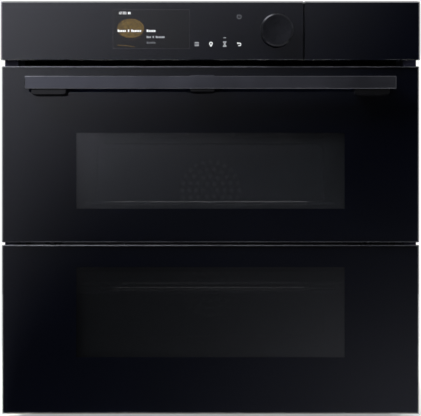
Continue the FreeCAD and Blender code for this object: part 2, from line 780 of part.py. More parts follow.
def blower_housing():
    """Round fan case with a mouth towards the front and an inlet on top."""
    z0, z1 = blower_floor, blower_floor + blower_height
    front = blower_y - blower_radius - 12.0
    t = blower_wall
    drum = rod_z(blower_x, blower_y, z0, z1, blower_radius)
    mouth = box(blower_x - duct_rear_half, front, z0, blower_x + duct_rear_half, blower_y, z1)
    inside = union([rod_z(blower_x, blower_y, z0 + t, z1 - t, blower_radius - t),
                    box(blower_x - duct_rear_half + t, front - 1.0, z0 + t,
                        blower_x + duct_rear_half - t, blower_y, z1 - t)])
    inlet = rod_z(blower_x, blower_y, z1 - 2 * t, z1 + 1.0, impeller_radius - 6.0)
    arm = box(blower_x - impeller_radius, blower_y - 7.0, z1 - t,
              blower_x + impeller_radius, blower_y + 7.0, z1 + 2.5)
    pad = rod_z(blower_x, blower_y, z1 - t, z1 + 2.5, motor_radius)
    shaft_hole = rod_z(blower_x, blower_y, z0 + t, z1 + 9.0, fan_shaft_radius + 4.0)
    legs = [rod_z(blower_x + s * 50.0, blower_y + k, insulation_top, z0 + eps, 5.0)
            for s in (-1, 1) for k in (-blower_radius, blower_radius / 2)]
    case = union([drum, mouth]).cut(inside).cut(inlet)
    return union([case, arm, pad] + legs).cut(shaft_hole)


def air_duct():
    """Flat channel that spreads the cooling air to the slot above the door."""
    rear = blower_y - blower_radius - 12.0
    front = plate_y
    knee = rear - 130.0
    z0, z1 = duct_bottom + 1.0, duct_bottom + duct_height - 1.0
    t = blower_wall

    def plan(grow, ends):
        left, right = blower_x - duct_rear_half + grow, blower_x + duct_rear_half - grow
        wide = duct_front_half - 1.0 - grow
        return [(left, rear + ends), (-wide, knee), (-wide, front - ends),
                (wide, front - ends), (wide, knee), (right, rear + ends)]

    outer = prism_z(plan(0.0, 0.0), z0, z1)
    inner = prism_z(plan(t, 2.0), z0 + t, z1 - t)
    return outer.cut(inner)


def vent_grille():
    """Black moulded grille in the slot between the door and the control panel."""
    y0, y1 = face_y + 1.0, plate_y
    z0, z1 = grille_bottom, housing_bottom
    frame = box(-grille_half, y0, z0, grille_half, y1, z1)
    pitch = 2 * (grille_half - 4.0) / grille_bars
    cuts = []
    for k in range(grille_bars):
        x = -grille_half + 4.0 + pitch * k
        cuts.append(box(x + 1.0, y0 - 1.0, z0 + 1.0, x + pitch - 1.0, y1 + 1.0, z1 - 1.0))
    return less(frame, cuts)


# ---------------------------------------------------------------- electrics
def main_board():
    """Control circuit board with its larger components."""
    x0, y0, z0 = -half_body + 12.0, 0.0, insulation_top + 16.0
    board = box(x0, y0, z0, x0 + 120.0, y0 + 210.0, z0 + 1.6)
    sizes = ((14, 20, 30, 38, 24), (60, 22, 22, 34, 18), (90, 30, 16, 16, 22), (20, 80, 34, 34, 26),
             (70, 84, 40, 20, 12), (72, 120, 26, 26, 30), (18, 140, 40, 46, 14), (74, 165, 34, 30, 20))
    chips = [box(x0 + x, y0 + y, z0 + 1.6 - eps, x0 + x + w, y0 + y + d, z0 + 1.6 + h)
             for x, y, w, d, h in sizes]
    caps = [rod_z(x0 + x, y0 + y, z0 + 1.6 - eps, z0 + 24.0, 6.5) for x, y in ((60, 68), (104, 66))]
    posts = [rod_z(x0 + x, y0 + y, insulation_top, z0 + eps, 3.5)
             for x in (6, 114) for y in (6, 204)]
    return union([board] + chips + caps + posts)


def terminal_box():
    """Corners of the mains terminal block."""
    low = Vector(-half_body + 30.0, back_y - sheet - 34.0, body_top - 120.0)
    return low, low + Vector(62.0, 34.0, 44.0)


def terminal_block():
    low, high = terminal_box()
    block = rounded(box(low.x, low.y, low.z, high.x, high.y, high.z), 1, 3.0)
    ways = [box(low.x + 8.0 + 16.5 * k, high.y - 18.0, low.z + 18.0,
                low.x + 21.0 + 16.5 * k, high.y + 1.0, high.z - 8.0) for k in range(3)]
    gland = rod_y((low.x + high.x) / 2, high.y - 20.0, high.y + 1.0, low.z + 10.0, 6.0)
    return less(block, ways + [gland])


def steam_generator():
    """Cast boiler block with its inlet and outlet stubs."""
    z0 = insulation_top
    x0, y0 = 120.0, 150.0
    block = rounded(box(x0, y0, z0, x0 + 92.0, y0 + 70.0, z0 + 34.0), 2, 8.0)
    stubs = [rod_z(x0 + 20.0, y0 + 35.0, z0 + 30.0, z0 + 46.0, 4.0),
             rod_z(x0 + 72.0, y0 + 35.0, z0 + 30.0, z0 + 46.0, 5.0)]
    ribs = [box(x0 + 10.0 + 14.0 * k, y0 + 4.0, z0 + 33.0, x0 + 13.0 + 14.0 * k, y0 + 24.0, z0 + 38.0)
            for k in range(6)]
    return union([block] + stubs + ribs)


# ---------------------------------------------------------------- control panel
def glass_plate(x0, z0, x1, z1):
    """Front glass with rounded corners and ground edges."""
    plate = rounded(box(x0, glass_y, z0, x1, glass_y + glass, z1), 1, glass_corner)
    return plate.makeChamfer(glass_chamfer, face_edges(plate, 1, glass_y))


def control_panel_glass():
    plate = glass_plate(-half_width, panel_bottom, seam_x - seam_gap / 2, overall_height)
    return plate.cut(rod_y(dial_x, glass_y - 1.0, glass_y + glass + 1.0, panel_middle,
                           plunger_radius + 0.6))


def control_panel_housing():
    """Moulded tray that carries the glass, the display and the dial."""
    w = panel_wall
    z0, z1 = housing_bottom, overall_height - panel_edge
    x0, x1 = -half_width + panel_edge, seam_x - seam_gap / 2 - 1.0
    front, step, back = glass_y + glass, face_y - rail_sheet - 1.0, plate_y
    inner_x = -grille_half
    wide = box(x0, front, z0, x1, step, z1)
    deep = box(inner_x, front, z0, x1, back, z1)
    rooms = [box(x0 + w, front - 1.0, z0 + w, x1 - w, step - w, z1 - w),
             box(inner_x + w, front - 1.0, z0 + w, x1 - w, back - w, z1 - w)]
    wires = box(-half_body + 70.0, back - 2 * w, panel_middle - 8.0,
                -half_body + 120.0, back + w, panel_middle + 8.0)
    tongue_y = drawer_y + drawer_front + tongue_play
    tongue = box(x1 - w / 2, tongue_y, z0, drawer_left + seam_tongue, tongue_y + w, z1)
    return less(union([wide, deep]), rooms + [wires]).fuse(tongue)


def display_module():
    z = panel_middle + display_z
    half_x, half_z = display_width / 2 + display_bezel, display_height / 2 + display_bezel
    front = glass_y + glass + 0.3
    frame = box(display_x - half_x, front, z - half_z, display_x + half_x,
                front + display_depth, z + half_z)
    recess = box(display_x - display_width / 2, front - 1.0, z - display_height / 2,
                 display_x + display_width / 2, front + 0.4, z + display_height / 2)
    tabs = [box(display_x + s * half_x - 4.0, front + display_depth - eps, z - 6.0,
                display_x + s * half_x + 4.0, plate_y - panel_wall, z + 6.0)
            for s in (-1, 1)]
    return union([frame.cut(recess)] + tabs)


def dial_encoder():
    """Fixed body of the rotary encoder, on its support bracket."""
    h = encoder_size / 2
    y0 = glass_y + glass + dial_travel + 1.5
    body = box(dial_x - h, y0, panel_middle - h, dial_x + h, y0 + encoder_depth, panel_middle + h)
    bracket = box(dial_x - 24.0, y0 + encoder_depth - eps, panel_middle - 10.0,
                  dial_x + 24.0, y0 + encoder_depth + 2.0, panel_middle + 10.0)
    legs = [box(dial_x + s * 22.0 - 2.0, y0 + encoder_depth, panel_middle - 10.0,
                dial_x + s * 22.0 + 2.0, plate_y - panel_wall, panel_middle + 10.0)
            for s in (-1, 1)]
    bore = rod_y(dial_x, y0 - 1.0, y0 + encoder_depth + 4.0, panel_middle,
                 plunger_radius + running_clearance)
    return union([body, bracket] + legs).cut(bore)


def encoder_plunger():
    """Sleeve that the dial presses in; the dial's shaft turns inside it."""
    y0 = glass_y - dial_gap + 0.5
    y1 = glass_y + glass + dial_travel + 1.5 + encoder_depth
    sleeve = rod_y(dial_x, y0, y1, panel_middle, plunger_radius)
    bore = rod_y(dial_x, y0 - 1.0, y1 - 3.0, panel_middle, dial_shaft_radius + running_clearance)
    return sleeve.cut(bore)


def dial_knob():
    """Flat round dial with a knurled flank and a stub shaft."""
    back = glass_y - dial_gap
    front = back - dial_height
    cap = rod_y(dial_x, front, back, panel_middle, dial_radius)
    cap = cap.makeChamfer(dial_chamfer, face_edges(cap, 1, front))
    dish = Part.makeSphere(400.0, Vector(dial_x, front - 400.0 + 0.5, panel_middle))
    cap = cap.cut(dish)
    groove = rod_y(dial_x, back - 3.0, back + 1.0, panel_middle, dial_radius - 2.0)
    groove = groove.cut(rod_y(dial_x, back - 4.0, back + 2.0, panel_middle, 8.0))
    notch = rod_y(dial_x + dial_radius + 0.35, front + dial_chamfer + 1.0, back - 1.5, panel_middle, 0.8)
    notches = ring_of(notch, 60, Vector(dial_x, 0, panel_middle), Vector(0, 1, 0))
    stub = rod_y(dial_x, back - eps, glass_y + glass + encoder_depth - 1.0,
                 panel_middle, dial_shaft_radius)
    return union([less(cap, [groove] + notches), stub])


# ---------------------------------------------------------------- water drawer
def drawer_front_glass():
    return glass_plate(drawer_left, panel_bottom, half_width, overall_height)


def drawer_carrier():
    """Front plate and sliding tray of the water drawer."""
    w = drawer_wall
    z0, z1 = housing_bottom, overall_height - panel_edge
    front = box(drawer_left + 1.0, drawer_y, z0, half_width - panel_edge, drawer_y + drawer_front, z1)
    tray_back = drawer_y + drawer_depth
    tray = box(drawer_tray_left, drawer_y + 6.0, drawer_bottom, drawer_tray_right, tray_back,
               drawer_bottom + drawer_height)
    tray = rounded(tray, 1, 4.0)
    well = box(drawer_tray_left + w, drawer_y + drawer_front + w, drawer_bottom + w,
               drawer_tray_right - w, tray_back - w, drawer_bottom + drawer_height + 1.0)
    runners = [box(x0, drawer_y + 20.0, panel_middle - 4.0, x0 + 1.2, tray_back, panel_middle + 4.0)
               for x0 in (drawer_tray_left - 1.2 + eps, drawer_tray_right - eps)]
    return union([front, tray] + runners).cut(well)


def tank_box(grow):
    """Corners of the tank, shrunk by grow."""
    w = drawer_wall + tank_play + grow
    low = Vector(drawer_tray_left + w, drawer_y + drawer_front + w, drawer_bottom + drawer_wall + grow)
    high = Vector(drawer_tray_right - w, drawer_y + drawer_depth - w,
                  drawer_bottom + drawer_height - 2.0 - grow)
    return low, high


def water_tank():
    """Closed tank, and the bung in its filler hole."""
    low, high = tank_box(0.0)
    tank = rounded(box(low.x, low.y, low.z, high.x, high.y, high.z), 2, 8.0)
    inner_low, inner_high = tank_box(tank_wall)
    hollow = box(inner_low.x, inner_low.y, inner_low.z, inner_high.x, inner_high.y, inner_high.z)
    hollow = rounded(hollow, 2, 6.0)
    x, y = (low.x + high.x) / 2, low.y + 40.0
    mouth = rod_z(x, y, inner_high.z - 1.0, high.z + 1.0, tank_cap_radius)
    bung = union([rod_z(x, y, inner_high.z - 3.0, high.z, tank_cap_radius),
                  rod_z(x, y, high.z - eps, high.z + 1.5, tank_cap_radius + 2.0)])
    return Part.makeCompound([tank.cut(hollow).cut(mouth), bung])


# ---------------------------------------------------------------- doors
def heel_cutter(x0, x1, pivot_z, radius, back):
    """What must go from a door's lower back corner so that it swings clear."""
    block = box(x0, pivot_y, pivot_z - 2 * pivot_up - 2.0, x1, back, pivot_z)
    return block.cut(rod_x(x0 - 1.0, x1 + 1.0, pivot_y, pivot_z, radius))


def stile(bottom, top, pivot_z):
    """The right one: one hollow extrusion with a deep box and an edge return."""
    lip = half_door - stile_lip_inset
    inner = stile_half - stile_width
    front, back, lip_y = glass_y + glass, door_back_y, glass_y + stile_lip_depth
    t = stile_wall
    z0, z1 = bottom + frame_inset, top - frame_inset
    outer = prism_z([(inner, front), (lip, front), (lip, lip_y), (stile_half, lip_y),
                     (stile_half, back), (inner, back)], z0, z1)
    hollow = prism_z([(inner + t, front + t), (lip - t, front + t), (lip - t, lip_y - t),
                      (stile_half - t, lip_y - t), (stile_half - t, back - t),
                      (inner + t, back - t)], z0 - 1.0, z1 + 1.0)
    slot_half = hinge_slot_width / 2
    slot = box(arm_x - slot_half, front - 1.0, z0 - 1.0, arm_x + slot_half, back + 1.0,
               pivot_z + hinge_eye_radius + hinge_arm_play)
    lip_heel = stile_lip_depth - pivot_back + 1.5
    cuts = [hollow, slot,
            heel_cutter(inner - 1.0, stile_half + eps, pivot_z, heel_radius, back + 1.0),
            heel_cutter(stile_half, lip + 1.0, pivot_z, lip_heel, lip_y + 1.0),
            rod_x(inner - 1.0, stile_half + 1.0, pivot_y, pivot_z, hinge_pin_radius)]
    return less(outer, cuts)


def hinge_pin(pivot_z):
    """The right one, pressed into both walls of a stile."""
    return rod_x(stile_half - stile_width, stile_half, pivot_y, pivot_z, hinge_pin_radius)


def bottom_rail(bottom, pivot_z):
    """Cross rail with a rounded heel."""
    half = stile_half - stile_width - rail_fit
    z0, z1 = bottom + frame_inset, bottom + frame_inset + rail_height
    front = glass_y + glass
    rail = box(-half, front, z0, half, door_back_y - roll_play, z1)
    rail = rail.cut(heel_cutter(-half - 1.0, half + 1.0, pivot_z, heel_radius, door_back_y + 1.0))
    hollow = box(-half - 1.0, front + 3.0, z0 + 3.0, half + 1.0, door_back_y - 6.0, z1 - 3.0)
    return rail.cut(hollow)


def top_rail(top):
    """Cross rail under a door's top edge, open along its length."""
    half = stile_half - stile_width - rail_fit
    z0, z1 = top - frame_inset - rail_height, top - frame_inset
    front = glass_y + glass
    rail = box(-half, front, z0, half, door_back_y, z1)
    hollow = box(-half - 1.0, front + 3.0, z0 + 3.0, half + 1.0, door_back_y - 3.0, z1 - 2.0)
    return rail.cut(hollow)


def inner_panes(bottom, top):
    """The middle pane and the inner pane."""
    half = stile_half - stile_width - 2 * rail_fit
    low = bottom + frame_inset + rail_height
    high = top - frame_inset - rail_height
    panes = []
    for back in (middle_pane_back, door_depth):
        pane = box(-half, glass_y + back - glass, low, half, glass_y + back, high)
        panes.append(pane)
    return Part.makeCompound(panes)


def latch_holes(z0, z1):
    """Bores for the two latch bolts."""
    return [rod_z(s * latch_x, glass_y + latch_back, z0, z1, latch_radius + running_clearance)
            for s in (-1, 1)]


def lower_door_glass():
    return glass_plate(-half_door, door_bottom, half_door, lower_top)


def upper_door_glass():
    return glass_plate(-half_door, upper_bottom, half_door, upper_top)


def lower_door_stiles():
    return both_sides(stile(door_bottom, lower_top, door_pivot_z))


def upper_door_stiles():
    return both_sides(stile(upper_bottom, upper_top, flap_pivot_z))


def lower_door_bottom_rail():
    return bottom_rail(door_bottom, door_pivot_z)


def upper_door_bottom_rail():
    rail = bottom_rail(upper_bottom, flap_pivot_z)
    return less(rail, latch_holes(upper_bottom - 1.0, upper_bottom + rail_height + 4.0))


def lower_door_top_rail():
    """With a strike for each latch bolt, open towards the back."""
    strikes = []
    for s in (-1, 1):
        reach = latch_radius + 1.5
        low = lower_top - frame_inset - latch_drop - 2.0
        strikes.append(box(s * latch_x - reach, glass_y + latch_back - reach, low,
                           s * latch_x + reach, door_back_y + 1.0, lower_top + 1.0))
    return less(top_rail(lower_top), strikes)


def upper_door_top_rail():
    """With a row of slots that let cooling air out."""
    rail = top_rail(upper_top)
    slots = []
    count, pitch = 24, 19.0
    for k in range(count):
        x = (k - (count - 1) / 2) * pitch
        slot = box(x - 6.5, glass_y + 12.0, upper_top - 6.0, x + 6.5, glass_y + 17.0, upper_top + 1.0)
        slots.append(rounded(slot, 2, 2.4))
    return less(rail, slots)


def lower_door_panes():
    return inner_panes(door_bottom, lower_top)


def upper_door_panes():
    return inner_panes(upper_bottom, upper_top)


def door_hinge_pins():
    return both_sides(hinge_pin(door_pivot_z))


def flap_hinge_pins():
    return both_sides(hinge_pin(flap_pivot_z))


def hinge_arms():
    """Fixed arms that the whole door turns on."""
    x0, x1 = arm_x - hinge_arm_width / 2, arm_x + hinge_arm_width / 2
    r = hinge_eye_radius
    z = door_pivot_z
    root = plate_back + 70.0
    eye = rod_x(x0, x1, pivot_y, z, r)
    bar = box(x0, pivot_y, z - r, x1, root, z + r)
    heel = box(x0, plate_back + 6.0, z - r, x1, root, z + r + 12.0)
    arm = union([eye, bar, heel])
    return both_sides(arm.cut(rod_x(x0 - 1.0, x1 + 1.0, pivot_y, z,
                                    hinge_pin_radius + running_clearance)))


def hinge_receivers():
    """Folded steel pockets behind the front plate that hold the hinge arms."""
    half = hinge_arm_width / 2
    t = 1.5
    low, high = door_pivot_z - hinge_eye_radius - t, door_pivot_z + hinge_eye_radius + 12.0 + t
    back = plate_back + 76.0
    shell = box(arm_x - half - t, plate_back, low, arm_x + half + t, back, high)
    room = box(arm_x - half, plate_back - 1.0, low + t, arm_x + half, back - t, high - t)
    return both_sides(shell.cut(room))


def flap_hinge_arms():
    """Gooseneck arms on the lower door that the upper door folds on."""
    x0, x1 = arm_x - hinge_arm_width / 2, arm_x + hinge_arm_width / 2
    r = hinge_eye_radius
    z = flap_pivot_z
    neck_front = door_back_y
    neck_back = neck_front + flap_arm_thickness
    eye = rod_x(x0, x1, pivot_y, z, r)
    bar = box(x0, pivot_y, z - r, x1, neck_back, z + r)
    neck = box(x0, neck_front, lower_top - flap_arm_drop, x1, neck_back, z + r)
    arm = union([eye, bar, neck])
    return both_sides(arm.cut(rod_x(x0 - 1.0, x1 + 1.0, pivot_y, z,
                                    hinge_pin_radius + running_clearance)))


# ---------------------------------------------------------------- handle and latch
def lever_slot(grow):
    """Room for the lever in the handle's top face."""
    half = lever_length / 2 + grow
    y = glass_y - handle_reach + handle_thickness / 2
    top = handle_z + handle_height / 2
    return box(lever_x - half, y - lever_depth / 2 - grow, top - lever_height - lever_travel - grow,
               lever_x + half, y + lever_depth / 2 + grow, top + 5.0)


def handle_bar():
    y0 = glass_y - handle_reach
    z0, z1 = handle_z - handle_height / 2, handle_z + handle_height / 2
    bar = box(-handle_length / 2, y0, z0, handle_length / 2, y0 + handle_thickness, z1)
    bar = bar.makeChamfer(1.0, face_edges(bar, 1, y0))
    return bar.cut(lever_slot(lever_play))


def handle_posts():
    """Two end posts and the hollow centre post."""
    y0, y1 = glass_y - handle_reach + handle_thickness, glass_y
    outer = handle_length / 2 - handle_post_inset
    inner = outer - handle_post_width
    centre_half = handle_centre_post / 2
    spans = [(-outer, -inner, end_post_drop), (inner, outer, end_post_drop),
             (lever_x - centre_half, lever_x + centre_half, centre_post_drop)]
    posts = []
    for x0, x1, drop in spans:
        post = box(x0, y0, handle_z - handle_height / 2 - drop, x1, y1, handle_z + post_height / 2)
        posts.append(rounded(post, 1, 3.0))
    return Part.makeCompound(posts)


def handle_lever():
    """Press lever with sloping ends, in the middle of the handle's top."""
    front = glass_y - handle_reach + (handle_thickness - lever_depth) / 2
    left, right = lever_x - lever_length / 2, lever_x + lever_length / 2
    shoulder = handle_z + handle_height / 2
    top, low = shoulder + lever_proud, shoulder - lever_height
    ramp = 3.0
    outline = [(left, low), (left, shoulder), (left + ramp, top),
               (right - ramp, top), (right, shoulder), (right, low)]
    corners = [Vector(x, front, z) for x, z in outline]
    wire = Part.makePolygon(corners + corners[:1])
    return Part.Face(wire).extrude(Vector(0, lever_depth, 0))


def latch_bolts():
    """The two bolts that lock the upper door to the lower one."""
    bolts = []
    for s in (-1, 1):
        low = lower_top - frame_inset - latch_drop
        bolt = rod_z(s * latch_x, glass_y + latch_back, low, low + latch_length, latch_radius)
        bolts.append(bolt.makeChamfer(0.8, face_edges(bolt, 2, low)))
    return Part.makeCompound(bolts)


# ---------------------------------------------------------------- the oven
parts = {
    "base_tray": base_tray, "side_panel_left": lambda: mirrored(side_panel()),
    "side_panel_right": side_panel, "rear_panel": rear_panel, "top_cover": top_cover,
    "side_rails": side_rails, "case_screws": case_screws,
    "cavity_front_plate": cavity_front_plate, "cavity_wrap": cavity_wrap,
    "cavity_back_wall": cavity_back_wall, "cavity_insulation": cavity_insulation,
    "door_gasket": door_gasket, "lamp_lenses": lamp_lenses, "rear_baffle": rear_baffle,
    "grill_heater": grill_heater, "ring_heaters": ring_heaters, "bottom_heater": bottom_heater,
    "shelf_runners": shelf_runners, "divider": divider, "baking_tray": baking_tray,
    "tray_insert": tray_insert, "wire_rack": wire_rack,
    "fan_upper": lambda: fan(fan_centres[0]), "fan_lower": lambda: fan(fan_centres[1]),
    "fan_motors": fan_motors, "cooling_impeller": cooling_impeller,
    "blower_housing": blower_housing, "air_duct": air_duct, "vent_grille": vent_grille,
    "main_board": main_board, "terminal_block": terminal_block,
    "steam_generator": steam_generator,
    "control_panel_glass": control_panel_glass, "control_panel_housing": control_panel_housing,
    "display_module": display_module, "dial_encoder": dial_encoder,
    "encoder_plunger": encoder_plunger, "dial_knob": dial_knob,
    "drawer_front_glass": drawer_front_glass, "drawer_carrier": drawer_carrier,
    "water_tank": water_tank,
    "lower_door_glass": lower_door_glass, "lower_door_stiles": lower_door_stiles,
    "lower_door_bottom_rail": lower_door_bottom_rail, "lower_door_top_rail": lower_door_top_rail,
    "lower_door_panes": lower_door_panes, "door_hinge_pins": door_hinge_pins,
    "flap_hinge_arms": flap_hinge_arms,
    "upper_door_glass": upper_door_glass, "upper_door_stiles": upper_door_stiles,
    "upper_door_bottom_rail": upper_door_bottom_rail, "upper_door_top_rail": upper_door_top_rail,
    "upper_door_panes": upper_door_panes, "flap_hinge_pins": flap_hinge_pins,
    "handle_bar": handle_bar, "handle_posts": handle_posts, "handle_lever": handle_lever,
    "latch_bolts": latch_bolts,
    "hinge_arms": hinge_arms, "hinge_receivers": hinge_receivers,
}

for name, make in parts.items():
    shape = make()
    if not shape.isValid():
        raise RuntimeError(name + " is not a valid shape")
    shape.exportStep("parts/" + name + ".step")
    print(name, len(shape.Solids), round(shape.Volume / 1000.0, 1))
print(len(parts), "nodes")
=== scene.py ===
# Built-in wall oven: black glass front, door that folds at mid height, dial and screen.
# Looks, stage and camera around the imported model. Metres, +Z up, the front faces -Y.
import math

import bmesh
import bpy
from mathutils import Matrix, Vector


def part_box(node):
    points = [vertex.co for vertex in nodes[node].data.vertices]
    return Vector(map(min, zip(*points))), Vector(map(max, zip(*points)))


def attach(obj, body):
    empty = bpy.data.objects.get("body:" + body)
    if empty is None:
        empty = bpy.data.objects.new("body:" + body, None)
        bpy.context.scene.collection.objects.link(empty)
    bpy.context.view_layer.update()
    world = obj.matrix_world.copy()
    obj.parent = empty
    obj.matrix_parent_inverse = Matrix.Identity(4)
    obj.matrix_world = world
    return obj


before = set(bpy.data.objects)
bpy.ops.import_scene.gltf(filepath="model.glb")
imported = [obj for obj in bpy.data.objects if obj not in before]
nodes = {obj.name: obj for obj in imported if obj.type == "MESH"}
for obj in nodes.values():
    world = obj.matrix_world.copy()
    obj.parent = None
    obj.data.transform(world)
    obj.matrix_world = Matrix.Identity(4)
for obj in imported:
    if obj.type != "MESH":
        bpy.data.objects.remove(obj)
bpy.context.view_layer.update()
mm = 0.001
print("frame loaded:", len(nodes), "nodes")


def toLinear(hexColour, alpha=1.0):
    # sRGB hex to the linear values that the shaders want
    channels = [int(hexColour[k:k + 2], 16) / 255 for k in (1, 3, 5)]
    linear = [c / 12.92 if c <= 0.04045 else ((c + 0.055) / 1.055) ** 2.4 for c in channels]
    return tuple(linear) + (alpha,)


def addNode(tree, kind, values=None, **settings):
    # values fill sockets; a value that is a socket itself is linked
    node = tree.nodes.new("ShaderNode" + kind)
    for name, value in settings.items():
        setattr(node, name, value)
    for key, value in (values or {}).items():
        if isinstance(value, bpy.types.NodeSocket):
            tree.links.new(value, node.inputs[key])
        else:
            node.inputs[key].default_value = value
    return node


def startMaterial(name):
    mat = bpy.data.materials.new(name)
    mat.use_nodes = True
    mat.node_tree.nodes.clear()
    return mat, mat.node_tree


def endMaterial(tree, shader):
    out = addNode(tree, "OutputMaterial")
    tree.links.new(shader, out.inputs["Surface"])


def perMetre(sizeMm):
    # texture scale that makes one feature this many millimetres wide
    return 1 / (sizeMm * mm)


# Finishes that differ only in colour, gloss and grain. grainMm is the fine texture of the
# surface, cloudMm the slow change of tone across it, stretch draws the grain out along an axis.
finishes = {
    # injection-moulded ABS with a fine eroded grain: semi-matt, faintly grey highlights
    "mouldedAbs": dict(dark="#0c0d10", light="#15161a", grainMm=0.9, cloudMm=40, rough=(0.42, 0.58),
                       ior=1.53, bump=0.25, bumpMm=0.05),
    # glass-filled nylon for hot places: duller, slightly brown black
    "filledNylon": dict(dark="#100f0f", light="#1c1a19", grainMm=1.2, cloudMm=25, rough=(0.5, 0.68),
                        ior=1.53, bump=0.35, bumpMm=0.08),
    # anodised aluminium extrusion, brushed lengthwise: dark satin with streaks along X
    "brushedAnodised": dict(dark="#505157", light="#63646b", grainMm=0.5, cloudMm=60,
                            rough=(0.15, 0.22), metallic=0.85, stretch=(0.012, 1, 1), bump=0.06,
                            bumpMm=0.02),
    # anodised knob with a blasted face: near black, soft broad highlight
    "blastedAnodised": dict(dark="#2e2f33", light="#37383d", grainMm=0.5, cloudMm=14,
                            rough=(0.24, 0.32), metallic=0.85, bump=0.1, bumpMm=0.02),
    # black die-cast posts under epoxy lacquer: glossy, so that they melt into the glass behind; their
    # black below the bar is painted shade, the shade under the handle's ends
    "postBlackAndShade": dict(dark="#0d0d10", light="#131317", grainMm=2.0, cloudMm=20, rough=(0.16, 0.24),
                       ior=1.5, bump=0.04, bumpMm=0.01),
    # powder-coated steel in dark blue-grey: fine orange peel
    "powderCoat": dict(dark="#1c1c36", light="#282746", grainMm=1.6, cloudMm=50, rough=(0.38, 0.5),
                       ior=1.5, bump=0.3, bumpMm=0.05),
    # black-coated door profile steel: satin
    "coatedSteel": dict(dark="#0e0f11", light="#191a1d", grainMm=1.4, cloudMm=45, rough=(0.32, 0.46),
                        ior=1.5, bump=0.2, bumpMm=0.04),
    # bright zinc-plated steel of screws, pins and arms: pale with a trace of yellow and blue
    "zincPlate": dict(dark="#8b8d8c", light="#b9bcc0", grainMm=1.5, cloudMm=9, rough=(0.25, 0.42),
                      metallic=1.0, bump=0.1, bumpMm=0.03),
    # hard chrome wire: mirror-like, slightly hazed where food has burnt on
    "chromedWire": dict(dark="#a7abae", light="#d3d6d9", grainMm=2.5, cloudMm=30, rough=(0.1, 0.24),
                        metallic=1.0, bump=0.05, bumpMm=0.02),
    # stainless fan wheels, rolled sheet with heat tint: warm grey
    "heatedStainless": dict(dark="#8a8279", light="#b5b0a8", grainMm=0.7, cloudMm=22,
                            rough=(0.28, 0.42), metallic=1.0, stretch=(1, 1, 0.06), bump=0.08,
                            bumpMm=0.02),
    # sheathed heating element: oxidised nickel alloy, matt olive grey
    "oxidisedSheath": dict(dark="#3a3833", light="#615d54", grainMm=1.8, cloudMm=18, rough=(0.5, 0.7),
                           metallic=0.9, bump=0.3, bumpMm=0.08),
    # electro-zinced motor cans: grey, satin, with drawing marks round the can
    "drawnSteel": dict(dark="#6f7274", light="#94979a", grainMm=0.8, cloudMm=20, rough=(0.35, 0.5),
                       metallic=1.0, stretch=(1, 0.08, 1), bump=0.12, bumpMm=0.03),
    # sand-cast aluminium boiler block: pale, coarse and dull
    "castAluminium": dict(dark="#7e8082", light="#a9abac", grainMm=1.3, cloudMm=12, rough=(0.5, 0.68),
                          metallic=1.0, bump=0.7, bumpMm=0.2),
    # brass terminal screws: yellow, slightly dulled
    "turnedBrass": dict(dark="#8a6f3a", light="#c2a35c", grainMm=0.6, cloudMm=5, rough=(0.25, 0.4),
                        metallic=1.0, bump=0.1, bumpMm=0.02),
    # black enamel frit printed on the back of glass: even, dead black with a trace of blue
    "ceramicPrint": dict(dark="#060810", light="#080a14", grainMm=9, cloudMm=120, rough=(0.6, 0.75),
                         ior=1.5, bump=0.02, bumpMm=0.01, gloss=0.0),
    # dead black for the air slot's grille and the sheet behind it; the sheet is painted shade, the
    # shadow inside the slot
    "ventBlackAndShade": dict(dark="#020202", light="#050506", grainMm=1.0, cloudMm=30, rough=(0.8, 0.95),
                       ior=1.5, bump=0.4, bumpMm=0.1, gloss=0.1),
    # satin aluminium edging dyed grey, rolled lengthwise: soft glint along its slope
    "satinAluminium": dict(dark="#515258", light="#67686e", grainMm=0.8, cloudMm=35,
                           rough=(0.3, 0.42), metallic=1.0, stretch=(0.02, 1, 1), bump=0.08,
                           bumpMm=0.02),
    # phosphated steel of hinge arms and latch bolts: dark and dull; in the screw heads' cross drives it
    # is painted shade, the dark of a recess
    "phosphatedSteel": dict(dark="#17181a", light="#26282a", grainMm=0.8, cloudMm=4,
                            rough=(0.55, 0.7), metallic=0.6, bump=0.2, bumpMm=0.03),
}


def plainFinish(name, look):
    mat, tree = startMaterial(name)
    place = addNode(tree, "TexCoord").outputs["Object"]
    drawn = addNode(tree, "Mapping", {"Vector": place, "Scale": look.get("stretch", (1, 1, 1))})
    grain = addNode(tree, "TexNoise", {"Vector": drawn.outputs["Vector"], "Detail": 5.0,
                                       "Scale": perMetre(look["grainMm"]), "Roughness": 0.6})
    cloud = addNode(tree, "TexNoise", {"Vector": place, "Scale": perMetre(look["cloudMm"]),
                                       "Detail": 3.0})
    blend = addNode(tree, "Mix", {0: 0.45, 2: cloud.outputs["Fac"], 3: grain.outputs["Fac"]})
    tone = addNode(tree, "MapRange", {"Value": blend.outputs[0], "From Min": 0.35, "From Max": 0.65})
    colour = addNode(tree, "Mix", {0: tone.outputs[0], 6: toLinear(look["dark"]),
                                   7: toLinear(look["light"])}, data_type="RGBA")
    smooth, rough = look["rough"]
    gloss = addNode(tree, "MapRange", {"Value": blend.outputs[0], "From Min": 0.3, "From Max": 0.7,
                                       "To Min": smooth, "To Max": rough})
    relief = addNode(tree, "Bump", {"Height": grain.outputs["Fac"], "Strength": look["bump"],
                                    "Distance": look["bumpMm"] * mm})
    surface = addNode(tree, "BsdfPrincipled", {"Base Color": colour.outputs[2],
                                               "Roughness": gloss.outputs[0],
                                               "Normal": relief.outputs[0],
                                               "Metallic": look.get("metallic", 0.0)})
    if "ior" in look:
        surface.inputs["IOR"].default_value = look["ior"]
    if "gloss" in look:
        surface.inputs["Specular IOR Level"].default_value = look["gloss"]
    endMaterial(tree, surface.outputs[0])
    return mat


